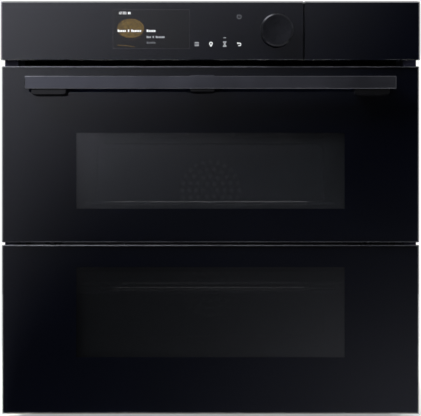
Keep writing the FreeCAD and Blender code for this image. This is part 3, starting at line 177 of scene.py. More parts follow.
# Hot-dip galvanised sheet: crystals of zinc 8 mm across, each a slightly different grey and
# gloss, so that the casing looks a little patchy when light rakes over it.
spangle = {"crystalMm": 8, "wobbleMm": 5, "dark": "#92969a", "light": "#a9adb0",
           "rough": (0.36, 0.46), "rollMm": 1.2}


def galvanisedSheet():
    mat, tree = startMaterial("galvanisedSheet")
    place = addNode(tree, "TexCoord").outputs["Object"]
    wobble = addNode(tree, "TexNoise", {"Vector": place, "Scale": perMetre(spangle["wobbleMm"]),
                                        "Detail": 2.0})
    bent = addNode(tree, "VectorMath", {0: wobble.outputs["Color"], 1: (0.004, 0.004, 0.004),
                                        2: place}, operation="MULTIPLY_ADD")
    crystals = addNode(tree, "TexVoronoi", {"Vector": bent.outputs[0], "Randomness": 1.0,
                                            "Scale": perMetre(spangle["crystalMm"])})
    pick = addNode(tree, "SeparateColor", {"Color": crystals.outputs["Color"]})
    colour = addNode(tree, "Mix", {0: pick.outputs[0], 6: toLinear(spangle["dark"]),
                                   7: toLinear(spangle["light"])}, data_type="RGBA")
    smooth, rough = spangle["rough"]
    gloss = addNode(tree, "MapRange", {"Value": pick.outputs[1], "To Min": smooth, "To Max": rough})
    rolled = addNode(tree, "Mapping", {"Vector": place, "Scale": (1, 1, 0.03)})
    lines = addNode(tree, "TexNoise", {"Vector": rolled.outputs[0], "Detail": 3.0,
                                       "Scale": perMetre(spangle["rollMm"])})
    height = addNode(tree, "Mix", {0: 0.5, 2: lines.outputs["Fac"], 3: pick.outputs[2]})
    relief = addNode(tree, "Bump", {"Height": height.outputs[0], "Strength": 0.18,
                                    "Distance": 0.05 * mm})
    surface = addNode(tree, "BsdfPrincipled", {"Base Color": colour.outputs[2], "Metallic": 1.0,
                                               "Roughness": gloss.outputs[0],
                                               "Normal": relief.outputs[0]})
    endMaterial(tree, surface.outputs[0])
    return mat


# Vitreous enamel fired on steel: glassy dark blue-grey with pale specks and a soft ripple.
# Real specks are 0.3 mm; they are drawn at 1.2 mm so that they show.
enamel = {"speckMm": 5.0, "speckSize": 0.13, "rippleMm": 6, "dark": "#1b1e24", "light": "#23262d",
          "speck": "#8d949c", "rough": (0.12, 0.26)}


def vitreousEnamel():
    mat, tree = startMaterial("vitreousEnamel")
    place = addNode(tree, "TexCoord").outputs["Object"]
    ripple = addNode(tree, "TexNoise", {"Vector": place, "Scale": perMetre(enamel["rippleMm"]),
                                        "Detail": 2.0})
    ground = addNode(tree, "Mix", {0: ripple.outputs["Fac"], 6: toLinear(enamel["dark"]),
                                   7: toLinear(enamel["light"])}, data_type="RGBA")
    specks = addNode(tree, "TexVoronoi", {"Vector": place, "Scale": perMetre(enamel["speckMm"])})
    spot = addNode(tree, "MapRange", {"Value": specks.outputs["Distance"], "From Min": 0.07,
                                      "From Max": enamel["speckSize"], "To Min": 1.0, "To Max": 0.0})
    colour = addNode(tree, "Mix", {0: spot.outputs[0], 6: ground.outputs[2],
                                   7: toLinear(enamel["speck"])}, data_type="RGBA")
    smooth, rough = enamel["rough"]
    gloss = addNode(tree, "MapRange", {"Value": ripple.outputs["Fac"], "To Min": smooth,
                                       "To Max": rough})
    relief = addNode(tree, "Bump", {"Height": ripple.outputs["Fac"], "Strength": 0.25,
                                    "Distance": 0.15 * mm})
    surface = addNode(tree, "BsdfPrincipled", {"Base Color": colour.outputs[2], "IOR": 1.52,
                                               "Roughness": gloss.outputs[0],
                                               "Normal": relief.outputs[0]})
    endMaterial(tree, surface.outputs[0])
    return mat


# Float glass, 4 mm: clear, 4 % reflection a face, a trace of grey in the tint. Shadow rays go
# straight through, so that light reaches what lies behind.
# The doors' inner panes carry an anti-reflective coat and a trace of baked-on haze; the lower panes'
# darker tint and smaller haze are painted shade, making the lower window darker than the upper one, as
# if less light fell into it.
glassLooks = {
    "floatGlass": dict(tint="#f4f6f7", ior=1.52, smear=(0.0, 0.012), clear="#e9ebec", haze=0.0),
    "litUpperPane": dict(tint="#b3b5bb", ior=1.32, smear=(0.0, 0.02), clear="#bcbec4", haze=0.0115),
    "shadedLowerPane": dict(tint="#a0a2a8", ior=1.3, smear=(0.0, 0.02), clear="#a6a8ae", haze=0.0045),
    "lampGlass": dict(tint="#eef2f2", ior=1.47, smear=(0.05, 0.12), clear="#e0e4e4", haze=0.002),
}


def clearGlass(name, look):
    mat, tree = startMaterial(name)
    place = addNode(tree, "TexCoord").outputs["Object"]
    film = addNode(tree, "TexNoise", {"Vector": place, "Scale": perMetre(90), "Detail": 3.0})
    smooth, rough = look["smear"]
    blur = addNode(tree, "MapRange", {"Value": film.outputs["Fac"], "From Min": 0.4,
                                      "From Max": 0.75, "To Min": smooth, "To Max": rough})
    body = addNode(tree, "BsdfPrincipled", {"Base Color": toLinear(look["tint"]),
                                            "IOR": look["ior"], "Transmission Weight": 1.0,
                                            "Roughness": blur.outputs[0]})
    dust = addNode(tree, "BsdfDiffuse", {"Color": toLinear("#eef1fb")})
    hazy = addNode(tree, "MixShader", {0: look["haze"], 1: body.outputs[0], 2: dust.outputs[0]})
    through = addNode(tree, "BsdfTransparent", {"Color": toLinear(look["clear"])})
    path = addNode(tree, "LightPath")
    choice = addNode(tree, "MixShader", {0: path.outputs["Is Shadow Ray"], 1: hazy.outputs[0],
                                         2: through.outputs[0]})
    endMaterial(tree, choice.outputs[0])
    return mat


# Blow-moulded clear tank plastic: milky, slightly wavy, lets light in.
tank = {"tint": "#cfd6dc", "waveMm": 30, "rough": (0.18, 0.32)}


def milkyTank():
    mat, tree = startMaterial("milkyTankPlastic")
    place = addNode(tree, "TexCoord").outputs["Object"]
    wave = addNode(tree, "TexNoise", {"Vector": place, "Scale": perMetre(tank["waveMm"])})
    smooth, rough = tank["rough"]
    gloss = addNode(tree, "MapRange", {"Value": wave.outputs["Fac"], "To Min": smooth,
                                       "To Max": rough})
    relief = addNode(tree, "Bump", {"Height": wave.outputs["Fac"], "Strength": 0.3,
                                    "Distance": 0.3 * mm})
    surface = addNode(tree, "BsdfPrincipled", {"Base Color": toLinear(tank["tint"]), "IOR": 1.5,
                                               "Transmission Weight": 0.75,
                                               "Roughness": gloss.outputs[0],
                                               "Normal": relief.outputs[0]})
    endMaterial(tree, surface.outputs[0])
    return mat


# Braided glass-fibre door seal: 2 mm strands crossing at an angle, matt charcoal.
braid = {"strandMm": 2.2, "dark": "#111214", "light": "#34373b"}


def braidedSeal():
    mat, tree = startMaterial("braidedSeal")
    place = addNode(tree, "TexCoord").outputs["Object"]
    heights = []
    for turn in (0.9, -0.9):
        turned = addNode(tree, "Mapping", {"Vector": place, "Rotation": (turn, turn, turn)})
        strands = addNode(tree, "TexWave", {"Vector": turned.outputs[0], "Distortion": 0.6,
                                            "Scale": perMetre(braid["strandMm"]) / 6.3},
                          bands_direction="DIAGONAL")
        heights.append(strands.outputs["Fac"])
    weave = addNode(tree, "Math", {0: heights[0], 1: heights[1]}, operation="MAXIMUM")
    colour = addNode(tree, "Mix", {0: weave.outputs[0], 6: toLinear(braid["dark"]),
                                   7: toLinear(braid["light"])}, data_type="RGBA")
    relief = addNode(tree, "Bump", {"Height": weave.outputs[0], "Strength": 0.8,
                                    "Distance": 0.4 * mm})
    surface = addNode(tree, "BsdfPrincipled", {"Base Color": colour.outputs[2], "Roughness": 0.85,
                                               "Normal": relief.outputs[0]})
    endMaterial(tree, surface.outputs[0])
    return mat


# Glass wool blanket: pale yellow-grey, fibrous, fully matt.
def glassWool():
    mat, tree = startMaterial("glassWool")
    place = addNode(tree, "TexCoord").outputs["Object"]
    tuft = addNode(tree, "TexNoise", {"Vector": place, "Scale": perMetre(14), "Detail": 6.0,
                                      "Distortion": 1.5})
    colour = addNode(tree, "Mix", {0: tuft.outputs["Fac"], 6: toLinear("#a49a82"),
                                   7: toLinear("#e3dcc9")}, data_type="RGBA")
    relief = addNode(tree, "Bump", {"Height": tuft.outputs["Fac"], "Strength": 0.9,
                                    "Distance": 2 * mm})
    surface = addNode(tree, "BsdfPrincipled", {"Base Color": colour.outputs[2], "Roughness": 0.95,
                                               "Normal": relief.outputs[0]})
    endMaterial(tree, surface.outputs[0])
    return mat


# Solder-masked glass-epoxy board: green with paler copper tracks under the mask; anything
# that stands up from it is dark moulded plastic.
board = {"standMm": 37, "fadeMm": 0.5, "trackMm": 60}


def maskedBoard():
    mat, tree = startMaterial("maskedBoard")
    place = addNode(tree, "TexCoord").outputs["Object"]
    axes = addNode(tree, "SeparateXYZ", {"Vector": place})
    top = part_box("main_board")[1].z
    foot = top - board["standMm"] * mm
    deck = addNode(tree, "MapRange", {"Value": axes.outputs["Z"], "From Min": foot,
                                      "From Max": foot + board["fadeMm"] * mm})
    tracks = addNode(tree, "TexBrick", {"Vector": place, "Color1": toLinear("#1d5a38"),
                                        "Color2": toLinear("#2a6b45"), "Mortar": toLinear("#123f27"),
                                        "Scale": perMetre(board["trackMm"]), "Mortar Size": 0.03})
    colour = addNode(tree, "Mix", {0: deck.outputs[0], 6: tracks.outputs["Color"],
                                   7: toLinear("#1b1c1e")}, data_type="RGBA")
    surface = addNode(tree, "BsdfPrincipled", {"Base Color": colour.outputs[2], "Roughness": 0.35,
                                               "IOR": 1.5})
    endMaterial(tree, surface.outputs[0])
    return mat


# What the screen and the touch keys give off: light of one hue, a little uneven.
glows = {
    "screenGround": dict(colour="#131417", dim="#0f1013", strength=0.3, grainMm=18),
    "whiteGlyph": dict(colour="#ffffff", dim="#eceef2", strength=1.25, grainMm=3),
    "greyGlyph": dict(colour="#c9cbd1", dim="#b2b4bb", strength=0.95, grainMm=3),
    "dimGlyph": dict(colour="#83858b", dim="#6d6f75", strength=0.8, grainMm=3),
    "bakedCrust": dict(colour="#a08238", dim="#4f3c1a", strength=0.55, grainMm=2.2),
    "darkDish": dict(colour="#2a1d0f", dim="#080605", strength=0.6, grainMm=6),
    "tableGround": dict(colour="#131111", dim="#050404", strength=0.5, grainMm=9),
}


def litFilm(name, look):
    mat, tree = startMaterial(name)
    place = addNode(tree, "TexCoord").outputs["Object"]
    grain = addNode(tree, "TexNoise", {"Vector": place, "Scale": perMetre(look["grainMm"]),
                                       "Detail": 4.0})
    tone = addNode(tree, "MapRange", {"Value": grain.outputs["Fac"], "From Min": 0.35,
                                      "From Max": 0.65})
    colour = addNode(tree, "Mix", {0: tone.outputs[0], 6: toLinear(look["dim"]),
                                   7: toLinear(look["colour"])}, data_type="RGBA")
    surface = addNode(tree, "BsdfPrincipled", {"Base Color": toLinear("#050505"),
                                               "Roughness": 0.6, "Specular IOR Level": 0.0,
                                               "Emission Color": colour.outputs[2],
                                               "Emission Strength": look["strength"]})
    endMaterial(tree, surface.outputs[0])
    return mat


materials = {name: plainFinish(name, look) for name, look in finishes.items()}
materials.update({name: clearGlass(name, look) for name, look in glassLooks.items()})
materials.update({name: litFilm(name, look) for name, look in glows.items()})
for make in (galvanisedSheet, vitreousEnamel, milkyTank, braidedSeal, glassWool, maskedBoard):
    made = make()
    materials[made.name] = made
print("materials made:", len(materials))

nodeFinish = {
    "galvanisedSheet": "base_tray side_panel_left side_panel_right rear_panel top_cover air_duct"
                       " hinge_receivers",
    "zincPlate": "case_screws hinge_arms door_hinge_pins flap_hinge_pins encoder_plunger",
    "phosphatedSteel": "flap_hinge_arms latch_bolts",
    "powderCoat": "side_rails",
    "vitreousEnamel": "cavity_front_plate cavity_wrap cavity_back_wall rear_baffle divider"
                      " baking_tray",
    "glassWool": "cavity_insulation",
    "braidedSeal": "door_gasket",
    "lampGlass": "lamp_lenses",
    "oxidisedSheath": "grill_heater ring_heaters bottom_heater",
    "chromedWire": "shelf_runners tray_insert wire_rack",
    "heatedStainless": "fan_upper fan_lower",
    "drawnSteel": "fan_motors",
    "filledNylon": "cooling_impeller blower_housing terminal_block dial_encoder",
    "mouldedAbs": "control_panel_housing display_module drawer_carrier",
    "ventBlackAndShade": "vent_grille",
    "maskedBoard": "main_board",
    "castAluminium": "steam_generator",
    "floatGlass": "control_panel_glass drawer_front_glass lower_door_glass upper_door_glass",
    "litUpperPane": "upper_door_panes",
    "shadedLowerPane": "lower_door_panes",
    "milkyTankPlastic": "water_tank",
    "coatedSteel": "lower_door_stiles lower_door_bottom_rail lower_door_top_rail"
                   " upper_door_stiles upper_door_bottom_rail upper_door_top_rail",
    "brushedAnodised": "handle_bar handle_lever",
    "blastedAnodised": "dial_knob",
    "postBlackAndShade": "handle_posts",
}
for finish, names in nodeFinish.items():
    for name in names.split():
        mesh = nodes[name].data
        if not mesh.materials:
            mesh.materials.append(None)
        for slot in nodes[name].material_slots:
            slot.link = "OBJECT"
            slot.material = materials[finish]

# The visible turned and extruded edges get a small round, as real ones have.
edgeRounds = {"handle_bar": 0.26, "handle_lever": 0.2, "handle_posts": 0.4, "dial_knob": 0.25}
for name, widthMm in edgeRounds.items():
    bevel = nodes[name].modifiers.new("edgeRound", "BEVEL")
    bevel.width = widthMm * mm
    bevel.segments = 3
    bevel.limit_method = "ANGLE"
    bevel.angle_limit = math.radians(38)
    bevel.harden_normals = True
print("finishes put on", len(nodes), "nodes")


def boxMm(node):
    low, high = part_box(node)
    return [v / mm for v in low], [v / mm for v in high]


def prismInto(bm, outline, y0, y1):
    # a closed plate from an outline of (x, z) points in millimetres
    front = [bm.verts.new((x * mm, y0 * mm, z * mm)) for x, z in outline]
    back = [bm.verts.new((x * mm, y1 * mm, z * mm)) for x, z in outline]
    bm.faces.new(front)
    bm.faces.new(back[::-1])
    for k in range(len(outline)):
        n = (k + 1) % len(outline)
        bm.faces.new((front[k], back[k], back[n], front[n]))


def loopInto(bm, outer, inner, y0, y1):
    # a closed band between two loops of (x, z) points
    rings = [[bm.verts.new((x * mm, y * mm, z * mm)) for x, z in loop]
             for loop, y in ((outer, y0), (inner, y0), (inner, y1), (outer, y1))]
    for a, b in zip(rings, rings[1:] + rings[:1]):
        for k in range(len(outer)):
            n = (k + 1) % len(outer)
            bm.faces.new((a[k], a[n], b[n], b[k]))


def ribbonInto(bm, points, width, y0, y1, closed=False):
    # a line of even width through (x, z) points, mitred at its corners
    path = [Vector(p) for p in points]
    sides = ([], [])
    for k, at in enumerate(path):
        into = at - path[k - 1] if k or closed else path[1] - at
        out = path[(k + 1) % len(path)] - at if k < len(path) - 1 or closed else into
        into, out = into.normalized(), out.normalized()
        along = (into + out).normalized()
        across = Vector((-along.y, along.x))
        reach = width / 2 / max(0.4, across.dot(Vector((-into.y, into.x))))
        sides[0].append(at + across * reach)
        sides[1].append(at - across * reach)
    if closed:
        loopInto(bm, sides[0], sides[1], y0, y1)
    else:
        prismInto(bm, sides[0] + sides[1][::-1], y0, y1)


def arc(x, z, radius, start, end, steps, flat=1.0):
    angles = [math.radians(start + (end - start) * k / steps) for k in range(steps + 1)]
    return [(x + radius * math.cos(a), z + flat * radius * math.sin(a)) for a in angles]


def roundedBar(x0, z0, x1, z1, radius):
    corners = ((x1 - radius, z1 - radius, 0), (x0 + radius, z1 - radius, 90),
               (x0 + radius, z0 + radius, 180), (x1 - radius, z0 + radius, 270))
    return [p for x, z, start in corners for p in arc(x, z, radius, start, start + 90, 4)]


def sheetInto(bm, outer, holes, y0, y1):
    # a rectangular sheet with rectangular holes, as one closed skin of square cells
    x0, z0, x1, z1 = outer
    xs = sorted({x0, x1} | {h[0] for h in holes} | {h[2] for h in holes})
    zs = sorted({z0, z1} | {h[1] for h in holes} | {h[3] for h in holes})

    def solid(i, j):
        if not (0 <= i < len(xs) - 1 and 0 <= j < len(zs) - 1):
            return False
        x, z = (xs[i] + xs[i + 1]) / 2, (zs[j] + zs[j + 1]) / 2
        return not any(h[0] < x < h[2] and h[1] < z < h[3] for h in holes)

    grid = {}
    for i, x in enumerate(xs):
        for j, z in enumerate(zs):
            if any(solid(i - a, j - b) for a in (0, 1) for b in (0, 1)):
                grid[i, j] = [bm.verts.new((x * mm, y * mm, z * mm)) for y in (y0, y1)]
    for i in range(len(xs) - 1):
        for j in range(len(zs) - 1):
            if not solid(i, j):
                continue
            cell = [(i, j), (i + 1, j), (i + 1, j + 1), (i, j + 1)]
            bm.faces.new([grid[c][0] for c in cell])
            bm.faces.new([grid[c][1] for c in cell[::-1]])
            beside = ((i, j - 1), (i + 1, j), (i, j + 1), (i - 1, j))
            for k, near in enumerate(beside):
                if not solid(*near):
                    a, b = grid[cell[k]], grid[cell[(k + 1) % 4]]
                    bm.faces.new((a[0], a[1], b[1], b[0]))


def addPiece(name, bm, finish, body, smooth=False):
    bmesh.ops.recalc_face_normals(bm, faces=bm.faces)
    mesh = bpy.data.meshes.new(name)
    bm.to_mesh(mesh)
    bm.free()
    if smooth:
        mesh.shade_smooth()
    mesh.materials.append(materials[finish])
    piece = bpy.data.objects.new(name, mesh)
    bpy.context.scene.collection.objects.link(piece)
    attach(piece, body)
    return piece


# Black frit on the back of each front glass, with clear windows in the doors and a clear
# field over the screen. It lies just inside the glass's back face.
prints = {"sheetMm": 0.06, "insideMm": 0.08, "marginMm": 1.3, "windowHalf": 190.5,
          "upperWindow": (295.6, 403.4), "lowerWindow": (84.6, 212.6)}
glassHigh = boxMm("upper_door_glass")[1]
printBack = glassHigh[1] - prints["insideMm"]
printFront = printBack - prints["sheetMm"]
screenLow, screenHigh = boxMm("display_module")
bezelMm = 3.0
screen = (screenLow[0] + bezelMm, screenLow[2] + bezelMm, screenHigh[0] - bezelMm,
          screenHigh[2] - bezelMm)
windowHalf = prints["windowHalf"]
printed = {
    "upperDoorPrint": ("upper_door_glass", "upper_door",
                       [(-windowHalf, prints["upperWindow"][0], windowHalf, prints["upperWindow"][1])]),
    "lowerDoorPrint": ("lower_door_glass", "lower_door",
                       [(-windowHalf, prints["lowerWindow"][0], windowHalf, prints["lowerWindow"][1])]),
    "controlPanelPrint": ("control_panel_glass", "oven", [screen]),
    "drawerPrint": ("drawer_front_glass", "water_drawer", []),
}
for name, (node, body, holes) in printed.items():
    low, high = boxMm(node)
    edge = prints["marginMm"]
    bm = bmesh.new()
    sheetInto(bm, (low[0] + edge, low[2] + edge, high[0] - edge, high[2] - edge), holes,
              printFront, printBack)
    addPiece(name, bm, "ceramicPrint", body)

# A frit band round each inner pane, seen when the door is open.
innerBand = {"widthMm": 26, "heightShare": 0.6, "rimMm": 1, "insideMm": 0.12}
for name, node, body in (("upperPaneBand", "upper_door_panes", "upper_door"),
                         ("lowerPaneBand", "lower_door_panes", "lower_door")):
    low, high = boxMm(node)
    band, rim = innerBand["widthMm"], innerBand["rimMm"]
    tall = band * innerBand["heightShare"]
    back = high[1] - innerBand["insideMm"]
    bm = bmesh.new()
    sheetInto(bm, (low[0] + rim, low[2] + rim, high[0] - rim, high[2] - rim),
              [(low[0] + band, low[2] + tall, high[0] - band, high[2] - tall)],
              back - prints["sheetMm"], back)
    addPiece(name, bm, "ceramicPrint", body)

# A black sheet across the air slot, just inside the grille's back: painted shade, so that the slot
# reads as shadow.
shadeSheet = {"side": 1.2, "rim": 1.1, "front": 0.3, "back": 0.2}
low, high = boxMm("vent_grille")
bm = bmesh.new()
sheetInto(bm, (low[0] + shadeSheet["side"], low[2] + shadeSheet["rim"], high[0] - shadeSheet["side"],
               high[2] - shadeSheet["rim"]), [], high[1] - shadeSheet["front"], high[1] - shadeSheet["back"])
addPiece("ventShadeSheet", bm, "ventBlackAndShade", "oven")


def stripInto(bm, section, x0, x1):
    # a bar along X from a section of (y, z) points in millimetres
    ends = [[bm.verts.new((x * mm, y * mm, z * mm)) for y, z in section] for x in (x0, x1)]
    bm.faces.new(ends[0])
    bm.faces.new(ends[1][::-1])
    for k in range(len(section)):
        n = (k + 1) % len(section)
        bm.faces.new((ends[0][k], ends[1][k], ends[1][n], ends[0][n]))


# Thin metal edging over the top edge of each door's glass and the bottom edge of the upper
# one, a fine line from the front.
edging = {"proud": 0.1, "face": 1.4, "inset": 1.6, "slope": 0.8, "gap": 0.01, "heel": 0.05,
          "upright": 0.2}
for name, node, body in (("upperDoorEdging", "upper_door_glass", "upper_door"),
                         ("lowerDoorEdging", "lower_door_glass", "lower_door")):
    low, high = boxMm(node)
    proud, slope, gap = edging["proud"], edging["slope"], edging["gap"]
    front, back, top = low[1], high[1], high[2]
    foot = top - edging["face"]
    section = [(front - gap, foot), (front - proud, foot + edging["heel"]),
               (front - proud, foot + edging["upright"]), (front + slope, top + proud),
               (back, top + proud), (back, top + gap), (front + slope, top + gap),
               (front - gap, top - slope - 2 * gap)]
    left, right = low[0] + edging["inset"], high[0] - edging["inset"]
    bm = bmesh.new()
    stripInto(bm, section, left, right)
    if node == "upper_door_glass":
        stripInto(bm, [(y, low[2] + top - z) for y, z in section], left, right)
    addPiece(name, bm, "satinAluminium", body)

# Black strip behind the top of the seam beside the drawer, so that no light shows through it.
drawerLow, drawerHigh = boxMm("drawer_front_glass")
seamStrip = {"back": 12.7, "thick": 0.6, "left": 2.0, "right": 5.0, "drop": 9.0, "under": 0.2,
             "round": 0.3}
seamY = drawerLow[1] + seamStrip["back"]
bm = bmesh.new()
prismInto(bm, roundedBar(drawerLow[0] - seamStrip["left"], drawerHigh[2] - seamStrip["drop"],
                         drawerLow[0] + seamStrip["right"], drawerHigh[2] - seamStrip["under"],
                         seamStrip["round"]),
          seamY, seamY + seamStrip["thick"])
addPiece("seamStrip", bm, "mouldedAbs", "oven")
print("prints and edging made")

# The screen: a dark field with a clock, a picture of a pie in its dish and a list.
film = {"ahead": 0.1, "thick": 0.05, "edge": 0.5, "round": 1.0, "fieldBehind": 0.12,
        "groundBehind": 0.05}
filmFront = printFront - film["ahead"]
filmBack = filmFront + film["thick"]
field = filmBack + film["fieldBehind"]
bm = bmesh.new()
prismInto(bm, roundedBar(screen[0] + film["edge"], screen[1] + film["edge"],
                         screen[2] - film["edge"], screen[3] - film["edge"], film["round"]),
          field, field + film["thick"])
addPiece("screenField", bm, "screenGround", "oven")

pie = {"tile": (-133.6, 526.0, -94.4, 568.0), "x": -113.4, "z": 551.8, "half": 19.6, "flat": 0.72,
       "crimps": 30, "crimpMm": 0.4, "rim": 0.6, "dishDrop": 3.6, "round": 0.8,
       "spoon": [(-132.0, 527.9), (-120.0, 527.3), (-108.0, 525.4)], "spoonWidth": 0.9}
tile = pie["tile"]
bm = bmesh.new()
ground = filmBack + film["groundBehind"]
prismInto(bm, roundedBar(*tile, pie["round"]), ground, ground + film["thick"])
addPiece("pictureGround", bm, "tableGround", "oven")


def platterInto(bm, z, half, wave, y0, y1):
    # the pie or its dish: an oval cut off at the picture's edges
    count = pie["crimps"] * 6
    outline = []
    for k in range(count):
        angle = 2 * math.pi * k / count
        radius = half + wave * math.cos(angle * pie["crimps"])
        x = pie["x"] + radius * math.cos(angle)
        x = min(max(x, tile[0] + 0.01 * (k % 2)), tile[2] - 0.01 * (k % 2))
        outline.append((x, z + pie["flat"] * radius * math.sin(angle)))
    prismInto(bm, outline, y0, y1)


bm = bmesh.new()
platterInto(bm, pie["z"] - pie["dishDrop"], pie["half"], 0.0, filmBack, filmBack + 0.04)
addPiece("pictureDish", bm, "darkDish", "oven")
bm = bmesh.new()
platterInto(bm, pie["z"], pie["half"] - pie["rim"], pie["crimpMm"], filmFront, filmBack - 0.01)
addPiece("pictureCrust", bm, "bakedCrust", "oven")
bm = bmesh.new()
ribbonInto(bm, pie["spoon"], pie["spoonWidth"], filmFront, filmBack)
addPiece("pictureSpoon", bm, "bakedCrust", "oven")

segmentsOf = {"0": "abcdef", "1": "bc", "2": "abged", "3": "abgcd", "5": "afgcd"}


def digitInto(bm, digit, x, z, high, stroke):
    # seven-segment numeral, lower left corner at (x, z)
    wide = high * 0.55
    spots = {"a": ((x, z + high), (x + wide, z + high)), "d": ((x, z), (x + wide, z)),
             "g": ((x, z + high / 2), (x + wide, z + high / 2)),
             "f": ((x, z + high / 2), (x, z + high)), "e": ((x, z), (x, z + high / 2)),
             "b": ((x + wide, z + high / 2), (x + wide, z + high)),
             "c": ((x + wide, z), (x + wide, z + high / 2))}
    for letter in segmentsOf[digit]:
        ribbonInto(bm, spots[letter], stroke, filmFront, filmBack)


clock = {"x": -131.2, "z": 572.0, "high": 3.1, "stroke": 0.62, "pitch": 2.95, "dots": (0.8, 2.3),
         "dotLeft": 0.3, "dotRadius": 0.36, "colonPitch": 0.8}
bm = bmesh.new()
x = clock["x"]
for mark in "12:30":
    if mark == ":":
        for up in clock["dots"]:
            prismInto(bm, arc(x - clock["dotLeft"], clock["z"] + up, clock["dotRadius"], 0, 315, 7),
                      filmFront, filmBack)
        x += clock["colonPitch"]
        continue
    digitInto(bm, mark, x, clock["z"], clock["high"], clock["stroke"])
    x += clock["pitch"]
addPiece("clockDigits", bm, "whiteGlyph", "oven")

# Rows of small blocks stand where a menu has its words: x is a tall block, n a low one.
# Each is (left end, foot, block height, pitch, row).
menuRows = {"whiteGlyph": [(-117.3, 571.7, 3.4, 2.1, "xx"),
                           (-131.9, 546.6, 3.5, 2.42, "xnnnn x xnnnnn"),
                           (-90.7, 546.6, 3.5, 2.6, "xnnnn")],
            "greyGlyph": [(-90.7, 537.9, 3.2, 2.15, "xnn x xnnnnn")],
            "dimGlyph": [(-90.7, 530.0, 3.0, 2.6, "xnnxn")]}
blocks = {"low": 0.78, "gap": 0.5, "round": 0.4, "ahead": 0.06}
for glow, rows in menuRows.items():
    bm = bmesh.new()
    for x0, z0, high, pitch, row in rows:
        for k, block in enumerate(row):
            if block == " ":
                continue
            top = z0 + high * (1.0 if block == "x" else blocks["low"])
            right = x0 + (k + 1) * pitch - blocks["gap"]
            prismInto(bm, roundedBar(x0 + k * pitch, z0, right, top, blocks["round"]),
                      filmFront - blocks["ahead"], filmBack - blocks["ahead"])
    addPiece(glow + "Rows", bm, glow, "oven")

# Touch keys right of the screen: thin lines of white and grey light.
keys = {"z": 529.4, "line": 1.15, "menuX": -19.5, "lampX": 0.6, "timerX": 20.2, "backX": 40.5,
        "powerX": 40.7, "powerZ": 568.3}
keyZ, line = keys["z"], keys["line"]
bm = bmesh.new()
for dz in (-2.2, 0, 2.2):
    ribbonInto(bm, [(keys["menuX"] - 3.0, keyZ + dz), (keys["menuX"] + 3.0, keyZ + dz)], line,
               filmFront, filmBack)
addPiece("menuKey", bm, "greyGlyph", "oven")
bm = bmesh.new()
ribbonInto(bm, [(keys["lampX"] - 1.0, keyZ - 1.6)] + arc(keys["lampX"], keyZ + 0.7, 1.9, 236, -56, 20)
           + [(keys["lampX"] + 1.0, keyZ - 1.6)], line, filmFront, filmBack)
for dz in (-1.9, -3.0):
    ribbonInto(bm, [(keys["lampX"] - 1.1, keyZ + dz), (keys["lampX"] + 1.1, keyZ + dz)], line * 0.8,
               filmFront, filmBack)
addPiece("lampKey", bm, "whiteGlyph", "oven")
bm = bmesh.new()
for s in (-1, 1):
    corners = [(keys["timerX"] - 1.9, keyZ + s * 3.1), (keys["timerX"] + 1.9, keyZ + s * 3.1),
               (keys["timerX"], keyZ + s * 0.3)]
    ribbonInto(bm, corners, line, filmFront, filmBack, closed=True)
ribbonInto(bm, [(keys["timerX"] - 1.9, 538.3), (keys["timerX"] + 1.9, 538.3)], line * 0.8,
           filmFront, filmBack)
addPiece("timerKey", bm, "greyGlyph", "oven")
bm = bmesh.new()
ribbonInto(bm, [(keys["backX"] - 1.9, keyZ + 1.3), (keys["backX"] + 0.8, keyZ + 1.3)]
           + arc(keys["backX"] + 0.8, keyZ - 0.5, 1.8, 90, -90, 12)
           + [(keys["backX"] - 1.1, keyZ - 2.3)], line * 0.85, filmFront, filmBack)
prismInto(bm, [(keys["backX"] - 3.2, keyZ + 1.3), (keys["backX"] - 1.4, keyZ + 2.8),
               (keys["backX"] - 1.4, keyZ - 0.2)], filmFront, filmBack)
addPiece("backKey", bm, "whiteGlyph", "oven")
bm = bmesh.new()
ribbonInto(bm, arc(keys["powerX"], keys["powerZ"], 2.9, 60, -240, 24), line * 0.8,
           filmFront, filmBack)
ribbonInto(bm, [(keys["powerX"], keys["powerZ"] + 0.4), (keys["powerX"], keys["powerZ"] + 3.4)],
           line * 0.8, filmFront, filmBack)
addPiece("powerKey", bm, "dimGlyph", "oven")
print("screen and keys made")

# Screw drives, weld spots and terminal screws at the back. Sizes in millimetres.
screws = {"headMm": 3.8, "crossHalf": 2.1, "crossWidth": 0.9, "deep": 0.3, "proud": 0.02}
welds = {"end": 30, "edge": 7, "pitch": 55.0, "radius": 2.4, "height": 0.25, "rings": 3}
rearLow, rearHigh = boxMm("rear_panel")
headLow, headHigh = boxMm("case_screws")
screwX = headHigh[0] - screws["headMm"]
screwZ = (headLow[2] + screws["headMm"], (headLow[2] + headHigh[2]) / 2,
          headHigh[2] - screws["headMm"])
# The drives are dark crosses laid level with the zinc heads: painted shade where a recess would lie in
# shadow.
bm = bmesh.new()
for x in (-screwX, screwX):
    for z in screwZ:
        arm, half = screws["crossHalf"], screws["crossWidth"] / 2
        cross = [(half, half), (arm, half), (arm, -half), (half, -half), (half, -arm), (-half, -arm),
                 (-half, -half), (-arm, -half), (-arm, half), (-half, half), (-half, arm), (half, arm)]
        prismInto(bm, [(x + u, z + v) for u, v in cross], headHigh[1] - screws["deep"],
                  headHigh[1] + screws["proud"])
addPiece("screwDriveShade", bm, "phosphatedSteel", "oven")


def domeInto(bm, x, y, z, radius, height, rings):
    # a shallow round spot on a wall that faces +Y
    around = 18
    last = None
    for r in range(rings):
        lean = math.pi / 2 * r / rings
        level = y + height * math.sin(lean)
        ring = [bm.verts.new(((x + radius * math.cos(lean) * math.cos(2 * math.pi * k / around)) * mm,
                              level * mm,
                              (z + radius * math.cos(lean) * math.sin(2 * math.pi * k / around)) * mm))
                for k in range(around)]
        if last:
            for k in range(around):
                n = (k + 1) % around
                bm.faces.new((last[k], last[n], ring[n], ring[k]))
        else:
            bm.faces.new(ring[::-1])
        last = ring
    bm.faces.new(last)


